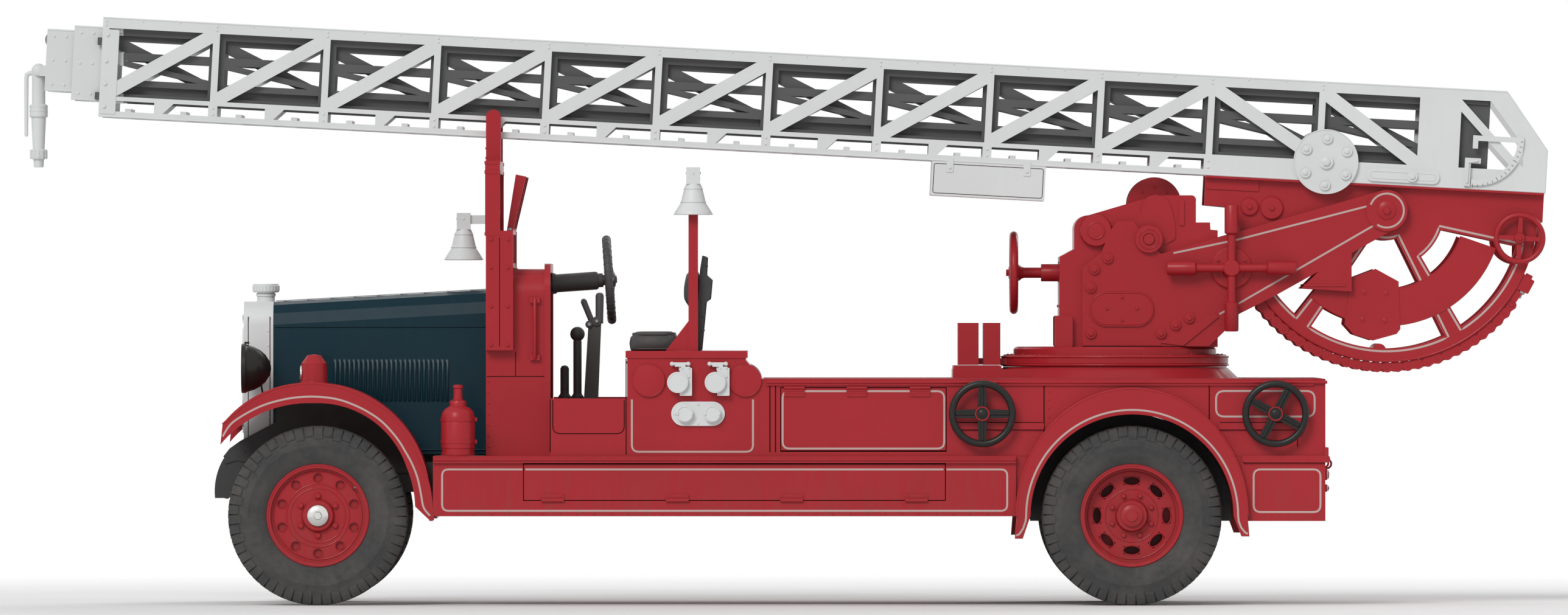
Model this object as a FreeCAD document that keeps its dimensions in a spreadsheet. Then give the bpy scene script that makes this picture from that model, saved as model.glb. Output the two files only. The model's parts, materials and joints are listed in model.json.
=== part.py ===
import FreeCAD, Part
import math
import os
import re

# Turntable ladder fire engine, built full size.
# Frame: +Z up, front of the vehicle towards -X, driver on the +Y side, wheels standing on Z = 0.

# ---------------------------------------------------------------- driving dimensions, in mm
SIZES = (
    # wheels and axles
    ("wheelbase", 4620),
    ("front_axle_x", -2650),
    ("tyre_radius", 510),
    ("tyre_width", 224),
    ("tread_width", 170),
    ("rim_radius", 286),
    ("rim_width", 170),
    ("front_wheel_y", 880),
    ("kingpin_y", 780),
    ("rear_wheel_y", 925),
    ("twin_spacing", 260),
    ("spindle_radius", 35),
    ("hub_radius", 96),
    ("steering_arm", 160),
    # clearances
    ("seat_gap", 0.3),
    ("running_gap", 0.05),
    # chassis
    ("rail_outer", 450),
    ("rail_width", 70),
    ("rail_top", 810),
    ("rail_depth", 170),
    ("rail_front_x", -3120),
    ("rail_overhang", 1070),
    ("spring_half_length", 450),
    ("spring_thickness", 45),
    # bonnet, radiator and scuttle
    ("radiator_front_x", -3085),
    ("radiator_length", 168),
    ("radiator_half", 380),
    ("radiator_base", 925),
    ("radiator_top", 1726),
    ("bonnet_length", 1219),
    ("bonnet_rear_half", 430),
    ("bonnet_base", 856),
    ("bonnet_front_top", 1748),
    ("bonnet_rear_top", 1791),
    ("panel", 20),
    ("scuttle_length", 366),
    ("cab_half", 800),
    ("scuttle_top", 1911),
    # cab, seat and rear body
    ("body_half", 1040),
    ("floor_top", 1176),
    ("cab_length", 438),
    ("seat_box_length", 673),
    ("seat_box_top", 1445),
    ("seat_slope", 75),
    ("deck_top", 1287),
    ("body_overhang", 1097),
    ("locker_depth", 480),
    ("locker_front_x", -25),
    ("locker_to_axle", 1052),
    ("locker_base", 873),
    ("locker_height", 366),
    ("flap", 20),
    # running boards
    ("board_from_axle", 655),
    ("board_to_axle", 658),
    ("board_top", 849),
    ("board_thickness", 40),
    ("board_reach", 40),
    ("skirt_reach", 20),
    ("skirt_inner", 640),
    ("skirt_base", 507),
    ("side_flap_from_axle", 1166),
    ("side_flap_to_axle", 1056),
    ("side_flap_base", 595),
    # mudguards
    ("guard_reach", 50),
    ("guard_skin", 20),
    ("rear_guard_inner", 560),
    ("rear_guard_radius", 576),
    ("rear_guard_reach", 655),
    ("rear_guard_crown", 722),
    # turntable
    ("turntable_offset", 82),
    ("base_radius", 648),
    ("ring_radius", 420),
    ("ring_top", 1354),
    ("lower_disc_top", 1421),
    ("upper_disc_top", 1466),
    ("upper_disc_radius", 580),
    ("housing_half", 385),
    ("arm_thickness", 40),
    ("drum_radius", 154),
    # ladder
    ("pivot_reach", 1544),
    ("pivot_height", 2245),
    ("pivot_radius", 50),
    ("ladder_tilt", 3.03),
    ("ladder_reach", 7364),
    ("ladder_tail", 900),
    ("ladder_offset", 147),
    ("ladder_depth", 570),
    ("base_half", 420),
    ("base_side", 30),
    ("bays", 11),
    ("first_post", 19),
    ("last_post", 398.5),
    ("section_gap", 15),
    ("middle_side", 24),
    ("middle_stub", 162),
    ("middle_tail", 560),
    ("middle_bottom", 235),
    ("middle_depth", 426),
    ("top_side", 22),
    ("top_stub", 155),
    ("top_tail", 500),
    ("top_bottom", 279),
    ("top_depth", 355),
    ("rung_spacing", 315.75),
    ("rung_width", 34),
    ("sector_inner", 325),
    ("sector_outer", 372),
    ("sector_clearance", 33),
    ("sector_rim", 75),
    ("chain_depth", 63),
    ("chain_pitch_angle", 3.75),
)

# places that follow from the sizes, each a sum of them
DERIVED = {
    "rear_axle_x": "front_axle_x + wheelbase",
    "rail_rear_x": "rear_axle_x + rail_overhang",
    "body_rear_x": "rear_axle_x + body_overhang",
    "locker_length": "rear_axle_x - locker_to_axle - locker_front_x",
    "board_front_x": "front_axle_x + board_from_axle",
    "board_rear_x": "rear_axle_x - board_to_axle",
    "board_outer": "body_half + board_reach",
    "skirt_outer": "body_half + skirt_reach",
    "side_flap_x": "front_axle_x + side_flap_from_axle",
    "side_flap_length": "rear_axle_x - side_flap_to_axle - side_flap_x",
    "guard_outer": "body_half + guard_reach",
    "turntable_x": "rear_axle_x - turntable_offset",
    "pivot_x": "turntable_x + pivot_reach",
    "sector_radius": "pivot_height - deck_top - chain_depth - sector_clearance",
}

doc = FreeCAD.newDocument("turntable_ladder_engine")
sheet = doc.addObject("Spreadsheet::Sheet", "sizes")
for row, (alias, value) in enumerate(SIZES, 1):
    sheet.set("A%d" % row, alias)
    sheet.set("B%d" % row, str(value))
    sheet.setAlias("B%d" % row, alias)
doc.recompute()


class Sizes:
    """Each driving dimension, or sum of them, as a number read back from the sheet."""

    def __getattr__(self, alias):
        if alias not in DERIVED:
            return float(sheet.get(alias))
        total = 0
        sign = 1
        for word in DERIVED[alias].split():
            if word in "+-":
                sign = 1 if word == "+" else -1
            else:
                total += sign * getattr(self, word)
        return total


v = Sizes()
ALIASES = {alias for alias, _ in SIZES}
pieces = {}


# ---------------------------------------------------------------- ways of making shapes
def written(word):
    """A word of an expression: an alias as the sheet's own, a derived place as its sum."""
    name = word.group()
    if name in DERIVED:
        return "(%s)" % expression(DERIVED[name])
    return "sizes." + name if name in ALIASES else name


def expression(text):
    return re.sub(r"[a-z_]+", written, str(text))


def bind(obj, **fields):
    for field, text in fields.items():
        obj.setExpression(field.replace("__", "."), expression(text))
    return obj


def move(obj, x=0, y=0, z=0):
    return bind(obj, Placement__Base__x=x, Placement__Base__y=y, Placement__Base__z=z)


def box(size, corner):
    """A box of three sizes, from its low corner."""
    obj = doc.addObject("Part::Box", "block")
    bind(obj, Length=size[0], Width=size[1], Height=size[2])
    return move(obj, *corner)


def rod(axis, radius, length, start):
    """A cylinder that runs along the axis from its start."""
    obj = doc.addObject("Part::Cylinder", "rod")
    turn = {"x": ((0, 1, 0), 90), "y": ((1, 0, 0), -90), "z": ((0, 0, 1), 0)}[axis]
    obj.Placement = FreeCAD.Placement(FreeCAD.Vector(), FreeCAD.Rotation(FreeCAD.Vector(*turn[0]), turn[1]))
    bind(obj, Radius=radius, Height=length)
    return move(obj, *start)


def geometry(outline):
    """Lines and arcs of a closed outline: (x, y) is a line's end, (mid x, mid y, x, y) an arc's."""
    if outline[0] == "circle":
        return [Part.Circle(FreeCAD.Vector(outline[1], outline[2], 0), FreeCAD.Vector(0, 0, 1), outline[3])]
    here = FreeCAD.Vector(outline[0][-2], outline[0][-1], 0)
    first = here
    edges = []
    for point in outline[1:]:
        end = FreeCAD.Vector(point[-2], point[-1], 0)
        if len(point) == 4:
            edges.append(Part.Arc(here, FreeCAD.Vector(point[0], point[1], 0), end))
        else:
            edges.append(Part.LineSegment(here, end))
        here = end
    if here.distanceToPoint(first) > 1e-6:
        edges.append(Part.LineSegment(here, first))
    return edges


def sketch_on(body, plane, outlines, offset=0):
    sketch = body.newObject("Sketcher::SketchObject", "outline")
    origin = [feature for feature in body.Origin.OriginFeatures if feature.Role == plane + "_Plane"]
    sketch.AttachmentSupport = [(origin[0], "")]
    sketch.MapMode = "FlatFace"
    bind(sketch, AttachmentOffset__Base__z=offset)
    for outline in outlines:
        sketch.addGeometry(geometry(outline), False)
    return sketch


def pad(plane, outlines, start, length):
    """A flat outline with its holes, padded across its plane from start: Y for XZ, X for YZ, Z for XY."""
    body = doc.addObject("PartDesign::Body", "body")
    offset = "-((%s) + (%s))" % (start, length) if plane == "XZ" else start
    sketch = sketch_on(body, plane, outlines, offset)
    feature = body.newObject("PartDesign::Pad", "pad")
    feature.Profile = sketch
    bind(feature, Length=length)
    body.Tip = feature
    sketch.Visibility = False
    return body


def turned(plane, axis, outlines):
    """An outline turned a full circle about the sketch's own H_Axis or V_Axis."""
    body = doc.addObject("PartDesign::Body", "body")
    sketch = sketch_on(body, plane, outlines)
    feature = body.newObject("PartDesign::Revolution", "turned")
    feature.Profile = sketch
    feature.ReferenceAxis = (sketch, [axis])
    feature.Angle = 360
    body.Tip = feature
    return body


def fuse(*parts):
    obj = doc.addObject("Part::MultiFuse", "joined")
    obj.Shapes = list(parts)
    return obj


def cut(base, *tools):
    obj = doc.addObject("Part::Cut", "cut")
    obj.Base = base
    obj.Tool = fuse(*tools) if len(tools) > 1 else tools[0]
    return obj


def common(first, second):
    obj = doc.addObject("Part::Common", "common")
    obj.Base = first
    obj.Tool = second
    return obj


def group(*parts):
    """Like pieces on one body, as solids that don't touch."""
    obj = doc.addObject("Part::Compound", "set")
    obj.Links = list(parts)
    return obj


def on_both_sides(make):
    """The same piece on the left (-1) and the right (+1)."""
    return [make(-1), make(1)]


def side_box(side, length, height, x, z, inner, outer):
    corner_y = inner if side > 0 else "-(%s)" % outer
    return box((length, "(%s) - (%s)" % (outer, inner), height), (x, corner_y, z))


def side_rod(side, radius, x, z, inner, outer):
    start_y = inner if side > 0 else "-(%s)" % outer
    return rod("y", radius, "(%s) - (%s)" % (outer, inner), (x, start_y, z))


def side_pad(side, outlines, inner, outer):
    start = inner if side > 0 else "-(%s)" % outer
    return pad("XZ", outlines, start, "(%s) - (%s)" % (outer, inner))


def ring(radius, half, plane="XY"):
    """A handwheel's rim of square section about its own axis: Z for XY, X for YZ, Y for XZ."""
    turn = {"XY": ((0, 0, 1), 0), "YZ": ((0, 1, 0), 90), "XZ": ((1, 0, 0), 90)}[plane]
    outer = rod("z", radius + half, 2 * half, (0, 0, -half))
    inner = rod("z", radius - half, 2 * half + 2, (0, 0, -half - 1))
    obj = cut(outer, inner)
    obj.Placement = FreeCAD.Placement(FreeCAD.Vector(), FreeCAD.Rotation(FreeCAD.Vector(*turn[0]), turn[1]))
    return obj


def node(label, obj):
    obj.Label = label
    pieces[label] = obj
    return obj


def on_ladder(obj):
    """Sets a piece that was modelled level, with the elevation pivot at its origin, at the ladder's tilt."""
    obj.Placement = FreeCAD.Placement(FreeCAD.Vector(v.pivot_x, 0, v.pivot_height),
                                      FreeCAD.Rotation(FreeCAD.Vector(0, 1, 0), v.ladder_tilt))
    bind(obj, Placement__Rotation__Angle="ladder_tilt")
    return move(obj, "pivot_x", 0, "pivot_height")


def polar(radius, degrees, x=0, y=0):
    return (x + radius * math.cos(math.radians(degrees)), y + radius * math.sin(math.radians(degrees)))


def arc_to(radius, start, end, x=0, y=0):
    """An arc's middle and end, for an outline."""
    return polar(radius, (start + end) / 2, x, y) + polar(radius, end, x, y)


# ---------------------------------------------------------------- chassis, axles and steering
def chassis_frame():
    bottom = v.rail_top - v.rail_depth
    iron = v.rail_front_x
    rail = [(iron - 127, bottom - 35), (iron - 117, bottom + 98, iron - 79, bottom + 190),
            (iron, bottom + 225), (iron + 170, v.rail_top), (v.rail_rear_x, v.rail_top),
            (v.rail_rear_x, bottom), (iron, bottom), (iron - 55, bottom - 40), (iron - 77, bottom - 35)]
    rails = on_both_sides(lambda side: side_pad(side, [rail], "rail_outer - rail_width", "rail_outer"))
    front = v.front_axle_x
    rear = v.rear_axle_x
    # cross members: x, width, top below the rail's top, depth
    crosses = [(front - 410, 90, 30, 110), (front + 50, 80, 20, 90), (front + 1150, 80, 20, 120),
               (rear - 1770, 80, 20, 120), (rear - 670, 80, 20, 120), (rear + 680, 80, 20, 120),
               (rear + 990, 80, 20, 120)]
    bars = [box((width, "2 * (rail_outer - rail_width)", depth),
                (x, "rail_width - rail_outer", "rail_top - %g - %g" % (drop, depth)))
            for x, width, drop, depth in crosses]
    # bearers that carry the body, level with the running boards
    for x in (front + 1350, front + 1770, front + 2440, rear - 1590, rear - 1070, rear + 930):
        bars.append(box((60, "2 * skirt_inner - 2 * seat_gap", "board_top - rail_top + 30"),
                        (x, "seat_gap - skirt_inner", "rail_top - 30")))
    return fuse(*rails, *bars)


node("chassis_frame", chassis_frame())


def leaf_spring(side, x, top, sag):
    """A pack of leaves as one bow, its eyes under the rail and its middle on the axle."""
    reach = v.spring_half_length
    thick = v.spring_thickness
    bow = [(x - reach, top), (x, top - sag, x + reach, top), (x + reach, top - thick / 2),
           (x, top - sag - thick, x - reach, top - thick / 2)]
    spring = side_pad(side, [bow], "rail_outer - rail_width", "rail_outer")
    eyes = [side_rod(side, 24, x + end * (reach - 10), top - 23.7, "rail_outer - rail_width", "rail_outer")
            for end in (-1, 1)]
    return fuse(spring, *eyes)


spring_top = v.rail_top - v.rail_depth - v.seat_gap
front_sag = spring_top - v.tyre_radius - v.spring_thickness - 30 - v.seat_gap
rear_sag = spring_top - v.tyre_radius - v.spring_thickness - 75 - v.seat_gap
node("leaf_springs", group(*[leaf_spring(side, x, spring_top, sag) for side in (-1, 1)
                             for x, sag in ((v.front_axle_x, front_sag), (v.rear_axle_x, rear_sag))]))


def front_axle():
    beam = box((90, "2 * kingpin_y - 40", 70), ("front_axle_x - 45", "20 - kingpin_y", "tyre_radius - 40"))
    eyes = []
    bores = []
    for y in ("-kingpin_y", "kingpin_y"):
        eyes.append(rod("z", 40, 110, ("front_axle_x", y, "tyre_radius - 55")))
        bores.append(rod("z", "18 + running_gap", 200, ("front_axle_x", y, "tyre_radius - 100")))
    return cut(fuse(beam, *eyes), *bores)


node("front_axle", front_axle())


def rear_axle():
    tube = rod("y", 75, "2 * (rear_wheel_y - twin_spacing) - 360", ("rear_axle_x",
               "180 + twin_spacing - rear_wheel_y", "tyre_radius"))
    banjo = turned("YZ", "H_Axis", [[(-150, 0), (-150, 110), (-90, 190), (90, 190), (150, 110), (150, 0)]])
    ends = rod("y", "spindle_radius + 10", "2 * rear_wheel_y + 60",
               ("rear_axle_x", "-rear_wheel_y - 30", "tyre_radius"))
    return fuse(tube, move(banjo, "rear_axle_x", 0, "tyre_radius"), ends)


node("rear_axle", rear_axle())


def knuckle(side):
    """Kingpin with a yoke round the beam's eye, the stub axle and the steering arm."""
    y = "%d * kingpin_y" % side
    pin = rod("z", "18", 200, ("front_axle_x", y, "tyre_radius - 100"))
    high = "tyre_radius + 55.3"
    low = "tyre_radius - 85.3"
    caps = [rod("z", 42, 30, ("front_axle_x", y, z)) for z in (high, low)]
    links = [side_box(side, 70, 30, "front_axle_x - 35", z, "kingpin_y", "kingpin_y + 60")
             for z in (high, low)]
    bridge = side_box(side, 70, 170.6, "front_axle_x - 35", low, "kingpin_y + 43", "kingpin_y + 60")
    stub = side_rod(side, "spindle_radius", "front_axle_x", "tyre_radius", "kingpin_y + 43",
                    "front_wheel_y + 70")
    arm = box(("steering_arm", 40, 24), ("front_axle_x", "%s - 20" % y, "tyre_radius - 82"))
    ball = rod("z", 12, 46, ("front_axle_x + steering_arm - 20", y, "tyre_radius - 104"))
    return fuse(pin, *caps, bridge, *links, stub, arm, ball)


node("knuckle_left", knuckle(-1))
node("knuckle_right", knuckle(1))


def track_rod():
    """Joins the steering arms below; its eyes are open round the ball pins."""
    x = "front_axle_x + steering_arm - 20"
    bar = rod("y", 13, "2 * kingpin_y - 40", (x, "20 - kingpin_y", "tyre_radius - 98"))
    eyes = on_both_sides(lambda side: rod("z", 26, 24, (x, "%d * kingpin_y" % side, "tyre_radius - 110")))
    bores = on_both_sides(lambda side: rod("z", "12 + running_gap", 60, (x, "%d * kingpin_y" % side,
                                                                         "tyre_radius - 130")))
    return cut(fuse(bar, *eyes), *bores)


node("track_rod", track_rod())


# ---------------------------------------------------------------- wheels
def tyre_outline(centre):
    """Bore, flat side walls, shoulders and tread of one tyre, as (y, radius)."""
    bore = v.rim_radius + v.seat_gap
    wide = v.tyre_width / 2
    tread = v.tread_width / 2
    shoulder = v.tyre_radius - 52
    return [(centre - wide, bore), (centre + wide, bore), (centre + wide, shoulder),
            (centre + tread, v.tyre_radius), (centre - tread, v.tyre_radius), (centre - wide, shoulder)]


def front_tyre(side):
    body = turned("YZ", "H_Axis", [tyre_outline(side * v.front_wheel_y)])
    return move(body, "front_axle_x", 0, "tyre_radius")


def rear_tyres(side):
    outer = turned("YZ", "H_Axis", [tyre_outline(side * v.rear_wheel_y)])
    inner = turned("YZ", "H_Axis", [tyre_outline(side * (v.rear_wheel_y - v.twin_spacing))])
    return group(*[move(body, "rear_axle_x", 0, "tyre_radius") for body in (outer, inner)])


def rim_outline(side, centre, disc, hub_inner, hub_outer, bore):
    """A rim with its drop, disc and hub on one side of the vehicle, as (y, radius)."""
    half = v.rim_width / 2
    rim = v.rim_radius
    inside = rim - 16
    points = [(centre - half, inside), (centre - half, rim), (centre + half, rim), (centre + half, inside),
              (disc + 12, inside), (disc + 12, v.hub_radius), (hub_outer, v.hub_radius - 12),
              (hub_outer, bore), (hub_inner, bore), (hub_inner, v.hub_radius), (disc, v.hub_radius),
              (disc, inside)]
    return [(side * y, radius) for y, radius in points]


def front_wheel(side):
    centre = v.front_wheel_y
    bore = v.spindle_radius + v.running_gap
    rim = turned("YZ", "H_Axis", [rim_outline(side, centre, centre + 40, centre - 20, centre + 84, bore)])
    # round holes in the disc
    holes = []
    for k in range(10):
        x, z = polar(214, 36 * k + 18)
        holes.append(rod("y", 26, 60, (x, side * (v.front_wheel_y + 46) - 30, z)))
    cap = rod("y", 57, 16, (0, "%d * (front_wheel_y + 92) - 8" % side, 0))
    body = fuse(cut(rim, *holes), cap)
    return move(body, "front_axle_x", 0, "tyre_radius")


def rear_wheel(side):
    bore = v.spindle_radius + 10 + v.running_gap
    outer = v.rear_wheel_y
    inner = outer - v.twin_spacing
    wheel = turned("YZ", "H_Axis", [rim_outline(side, outer, outer - 20, outer - 100, outer + 50, bore)])
    twin = turned("YZ", "H_Axis", [rim_outline(side, inner, inner + 30, inner - 20, outer - 90, bore)])
    # oval holes in the outer disc, their long sides round the wheel
    holes = []
    for k in range(8):
        hole = doc.addObject("Part::Box", "oval")
        hole.Length, hole.Width, hole.Height = 46, 60, 92
        turn = FreeCAD.Rotation(FreeCAD.Vector(0, 1, 0), -45 * k)
        corner = turn.multVec(FreeCAD.Vector(197 - 23, 0, -46))
        hole.Placement = FreeCAD.Placement(corner, turn)
        bind(hole, Placement__Base__y="%d * (rear_wheel_y - 20) - 30" % side)
        holes.append(hole)
    cap = rod("y", 60, 14, (0, "%d * (rear_wheel_y + 57) - 7" % side, 0))
    return move(fuse(cut(wheel, *holes), twin, cap), "rear_axle_x", 0, "tyre_radius")


for side, name in ((-1, "left"), (1, "right")):
    node("front_%s_tyre" % name, front_tyre(side))
    node("front_%s_wheel" % name, front_wheel(side))
    node("rear_%s_tyres" % name, rear_tyres(side))
    node("rear_%s_wheel" % name, rear_wheel(side))


# ---------------------------------------------------------------- engine, radiator, bonnet and scuttle
bonnet_front_x = v.radiator_front_x + v.radiator_length
scuttle_front_x = bonnet_front_x + v.bonnet_length
scuttle_rear_x = scuttle_front_x + v.scuttle_length
seat_front_x = scuttle_rear_x + v.cab_length
seat_rear_x = seat_front_x + v.seat_box_length
body_front_x = seat_rear_x + v.seat_slope

node("engine_block", fuse(box((950, 440, 640), (bonnet_front_x + 130, -220, "rail_top - 20 + seat_gap")),
                          box((400, 320, 240), (bonnet_front_x + 1080, -160, "rail_top - 20 + seat_gap"))))


def shoulder_flats(half, base, top, radius):
    """An upright section whose shoulders are drawn in three flats, as (y, z)."""
    right = [(half - radius * (1 - math.cos(turn)), top - radius * (1 - math.sin(turn)))
             for turn in (0, math.pi / 6, math.pi / 3, math.pi / 2)]
    left = [(-y, z) for y, z in reversed(right)]
    return [(half, base)] + right + left + [(-half, base)]


def shoulder_outline(half, base, top, radius):
    """An upright section with rounded shoulders, as (y, z)."""
    lean = radius * (1 - math.sqrt(0.5))
    return [(-half, base), (-half, top - radius), (lean - half, top - lean, radius - half, top),
            (half - radius, top), (half - lean, top - lean, half, top - radius), (half, base)]


def loft(near, far, near_x, far_x):
    """A straight loft between two sections of the same make, as (y, z), at two places along X."""
    wires = []
    for outline, x in ((near, near_x), (far, far_x)):
        edges = [edge.toShape() for edge in geometry(outline)]
        wire = Part.Wire(edges)
        wire.Placement = FreeCAD.Placement(FreeCAD.Vector(x, 0, 0),
                                           FreeCAD.Rotation(FreeCAD.Vector(1, 1, 1), 120))
        wires.append(wire)
    return Part.makeLoft(wires, True, True)


def radiator():
    shell = pad("YZ", [shoulder_outline(v.radiator_half, v.radiator_base, v.radiator_top, 130)],
                "radiator_front_x", "radiator_length")
    face = pad("YZ", [shoulder_outline(v.radiator_half - 45, v.radiator_base + 60, v.radiator_top - 80, 95)],
               "radiator_front_x", 30)
    feet = on_both_sides(lambda side: side_box(side, 80, "radiator_base - rail_top - seat_gap + 5",
                                               "radiator_front_x + 60", "rail_top + seat_gap",
                                               "radiator_half - 70", "radiator_half"))
    # upright slats across the opening
    height = "radiator_top - radiator_base - 150"
    slats = [box((26, 12, height), ("radiator_front_x + 8", y - 6, "radiator_base + 55"))
             for y in range(-288, 289, 48)]
    neck = rod("z", 51, 55, ("radiator_front_x + 118", 0, "radiator_top - 2"))
    cap = rod("z", 72, 48, ("radiator_front_x + 118", 0, "radiator_top + 53"))
    return fuse(cut(shell, face), *slats, *feet, neck, cap)


node("radiator", radiator())


def bonnet():
    obj = doc.addObject("Part::Feature", "bonnet_shell")
    start = bonnet_front_x + v.seat_gap
    end = scuttle_front_x - v.seat_gap
    wall = v.panel
    front_top = v.bonnet_front_top - 25
    outer = loft(shoulder_flats(v.radiator_half, v.bonnet_base, front_top, 130),
                 shoulder_flats(v.bonnet_rear_half, v.bonnet_base, v.bonnet_rear_top, 130), start, end)
    foot = v.bonnet_base - 50
    inner = loft(shoulder_flats(v.radiator_half - wall, foot, front_top - wall, 115),
                 shoulder_flats(v.bonnet_rear_half - wall, foot, v.bonnet_rear_top - wall, 115),
                 start - 1, end + 1)
    obj.Shape = outer.cut(inner)
    return obj


node("bonnet", bonnet())


def scuttle():
    """Cowl and bulkhead, open to the cab behind."""
    base = v.board_top + v.seat_gap
    side_view = [(scuttle_front_x, base), (scuttle_front_x, v.bonnet_rear_top + 20),
                 (scuttle_front_x + 60, v.scuttle_top - 30, scuttle_front_x + 160, v.scuttle_top),
                 (scuttle_rear_x, v.scuttle_top), (scuttle_rear_x, base)]
    block = pad("XZ", [side_view], "-cab_half", "2 * cab_half")
    cowl = shoulder_outline(v.cab_half, base - 10, v.scuttle_top + 1, 150)
    front_view = pad("YZ", [cowl], scuttle_front_x - 10, "scuttle_length + 20")
    inside = pad("YZ", [shoulder_outline(v.cab_half - v.panel, base - 20, v.scuttle_top - v.panel, 130)],
                 scuttle_front_x + 160, "scuttle_length")
    engine_bay = pad("YZ", [shoulder_outline(v.bonnet_rear_half - v.panel, base - 20, v.floor_top, 90)],
                     scuttle_front_x - 20, 200)
    rim = pad("YZ", [shoulder_outline(v.cab_half + 8, base, v.scuttle_top + 31, 150),
                     shoulder_outline(v.cab_half - v.panel, base + 40, v.scuttle_top - v.panel, 130)],
              scuttle_rear_x - 34, 34)
    return fuse(cut(common(block, front_view), inside, engine_bay), rim)


node("scuttle", scuttle())


def under_ladder(x):
    """Height of the ladder's underside at a place along the vehicle."""
    tilt = math.radians(v.ladder_tilt)
    along = (x - v.pivot_x - v.ladder_offset * math.sin(tilt)) / math.cos(tilt)
    return v.pivot_height - along * math.sin(tilt) + v.ladder_offset * math.cos(tilt)


rest_x = scuttle_front_x - 4
rest_width = 84
rest_top = under_ladder(rest_x + rest_width)


def windscreen():
    """Frame with a lower pane upright and an upper pane raked back, and its glass."""
    foot = v.scuttle_top + v.seat_gap
    low_x = scuttle_front_x + 118
    bend = v.scuttle_top + 225
    top_x = low_x + 50
    top = rest_top - 210
    profile = [(low_x, foot), (low_x, bend), (top_x, top), (top_x + 58, top - 12), (low_x + 34, bend - 12),
               (low_x + 34, foot)]
    posts = on_both_sides(lambda side: side_pad(side, [profile], "cab_half - 160", "cab_half - 120"))
    rail_y = "160 - cab_half"
    rails = [box((30, "2 * cab_half - 320", 34), (x, rail_y, z))
             for x, z in ((low_x + 2, foot), (low_x + 4, bend - 28), (top_x + 12, top - 42))]
    middle = pad("XZ", [profile], -15, 30)
    near = low_x + 12
    far = low_x + 20
    pane = [(near, foot + 34.3), (near, bend - 28.3), (far, bend - 28.3), (far, foot + 34.3)]
    upper = [(near + 2, bend + 6.3), (top_x + 18, top - 42.3), (top_x + 26, top - 42.3),
             (far + 2, bend + 6.3)]
    glass = [side_pad(side, [sheet_of_glass], 15.3, "cab_half - 160.3")
             for side in (-1, 1) for sheet_of_glass in (pane, upper)]
    return fuse(*posts, *rails, middle), group(*glass)


frame, glass = windscreen()
node("windscreen_frame", frame)
node("windscreen_glass", glass)


def ladder_rest():
    """Goal post in front of the windscreen, with pads and horns for the ladder's head."""
    x = rest_x
    beam_top = rest_top - 135
    far_x = x + rest_width
    sheath = on_both_sides(lambda side: side_box(side, 155, 680, scuttle_front_x, 1449,
                                                 "cab_half + 8.3 + seat_gap - 8", "cab_half + 70"))
    legs = on_both_sides(lambda side: side_box(side, rest_width, beam_top - 2100, x, 2100, "cab_half + 9",
                                               "cab_half + 69"))
    beam = box((rest_width, "2 * cab_half + 138", 70), (x, "-cab_half - 69", beam_top - 70))
    horn = [(x, beam_top - 1), (x, rest_top + 113),
            (x + rest_width / 2, rest_top + 161, far_x, rest_top + 113), (far_x, beam_top - 1)]
    horns = on_both_sides(lambda side: side_pad(side, [horn], "base_half + 12", "base_half + 72"))
    seat = [(x, beam_top - 1), (x, under_ladder(x) - v.seat_gap), (far_x, rest_top - v.seat_gap),
            (far_x, beam_top - 1)]
    pads = on_both_sides(lambda side: side_pad(side, [seat], "base_half - 60", "base_half + 13"))
    return fuse(*sheath, *legs, beam, *horns, *pads)


node("ladder_rest", ladder_rest())


# ---------------------------------------------------------------- mudguards
def inset(outline, amount, x, z):
    """The same outline drawn in towards a centre, by an amount."""
    drawn = []
    for point in outline:
        moved = []
        for k in range(0, len(point), 2):
            dx = point[k] - x
            dz = point[k + 1] - z
            scale = 1 - amount / math.hypot(dx, dz)
            moved += [x + dx * scale, z + dz * scale]
        drawn.append(tuple(moved))
    return drawn


def backwards(outline):
    """The same open outline from its end to its start."""
    points = [point[-2:] for point in outline]
    turned_round = [points[-1]]
    for k in range(len(outline) - 1, 0, -1):
        middle = outline[k][:2] if len(outline[k]) == 4 else ()
        turned_round.append(tuple(middle) + tuple(points[k - 1]))
    return turned_round


def front_wing(side):
    x = v.front_axle_x
    z = v.tyre_radius
    crown = [(x - 538, z + 522), (x - 268, z + 718, x - 23, z + 755), (x + 416, z + 591, x + 630, z + 201),
             (x + 653, z - 30)]
    lip = [(x - 551, z + 404), (x - 310, z + 585, x - 23, z + 639), (x + 325, z + 530, x + 505, z + 277),
           (x + 545, z + 140, x + 554, z + 52), (x + 640, z - 30)]
    skin = crown + backwards(inset(crown, v.guard_skin, x, z))
    face = crown + backwards(lip)
    roof = side_pad(side, [skin], "rail_outer + panel + seat_gap", "guard_outer - 60")
    valance = side_pad(side, [face], "guard_outer - 60", "guard_outer - 30")
    lamp = turned("XZ", "V_Axis", [[(0, 0), (76, 0), (72, 120), (40, 165), (0, 172)]])
    return fuse(roof, valance, move(lamp, x - 23, side * 880, z + 745))


node("front_wings", group(*on_both_sides(front_wing)))


def inner_valance(side):
    """The dark splash plate between the chassis rail and the wing."""
    x = v.front_axle_x
    z = v.tyre_radius
    sheet = [(x - 250, v.rail_top - 60), (x - 250, z + 600), (x - 23, z + 729, x + 330, z + 600),
             (x + 560, z + 335)]
    sheet.append((x + 560, v.rail_top - 60))
    return side_pad(side, [sheet], "rail_outer + seat_gap", "rail_outer + panel")


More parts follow.
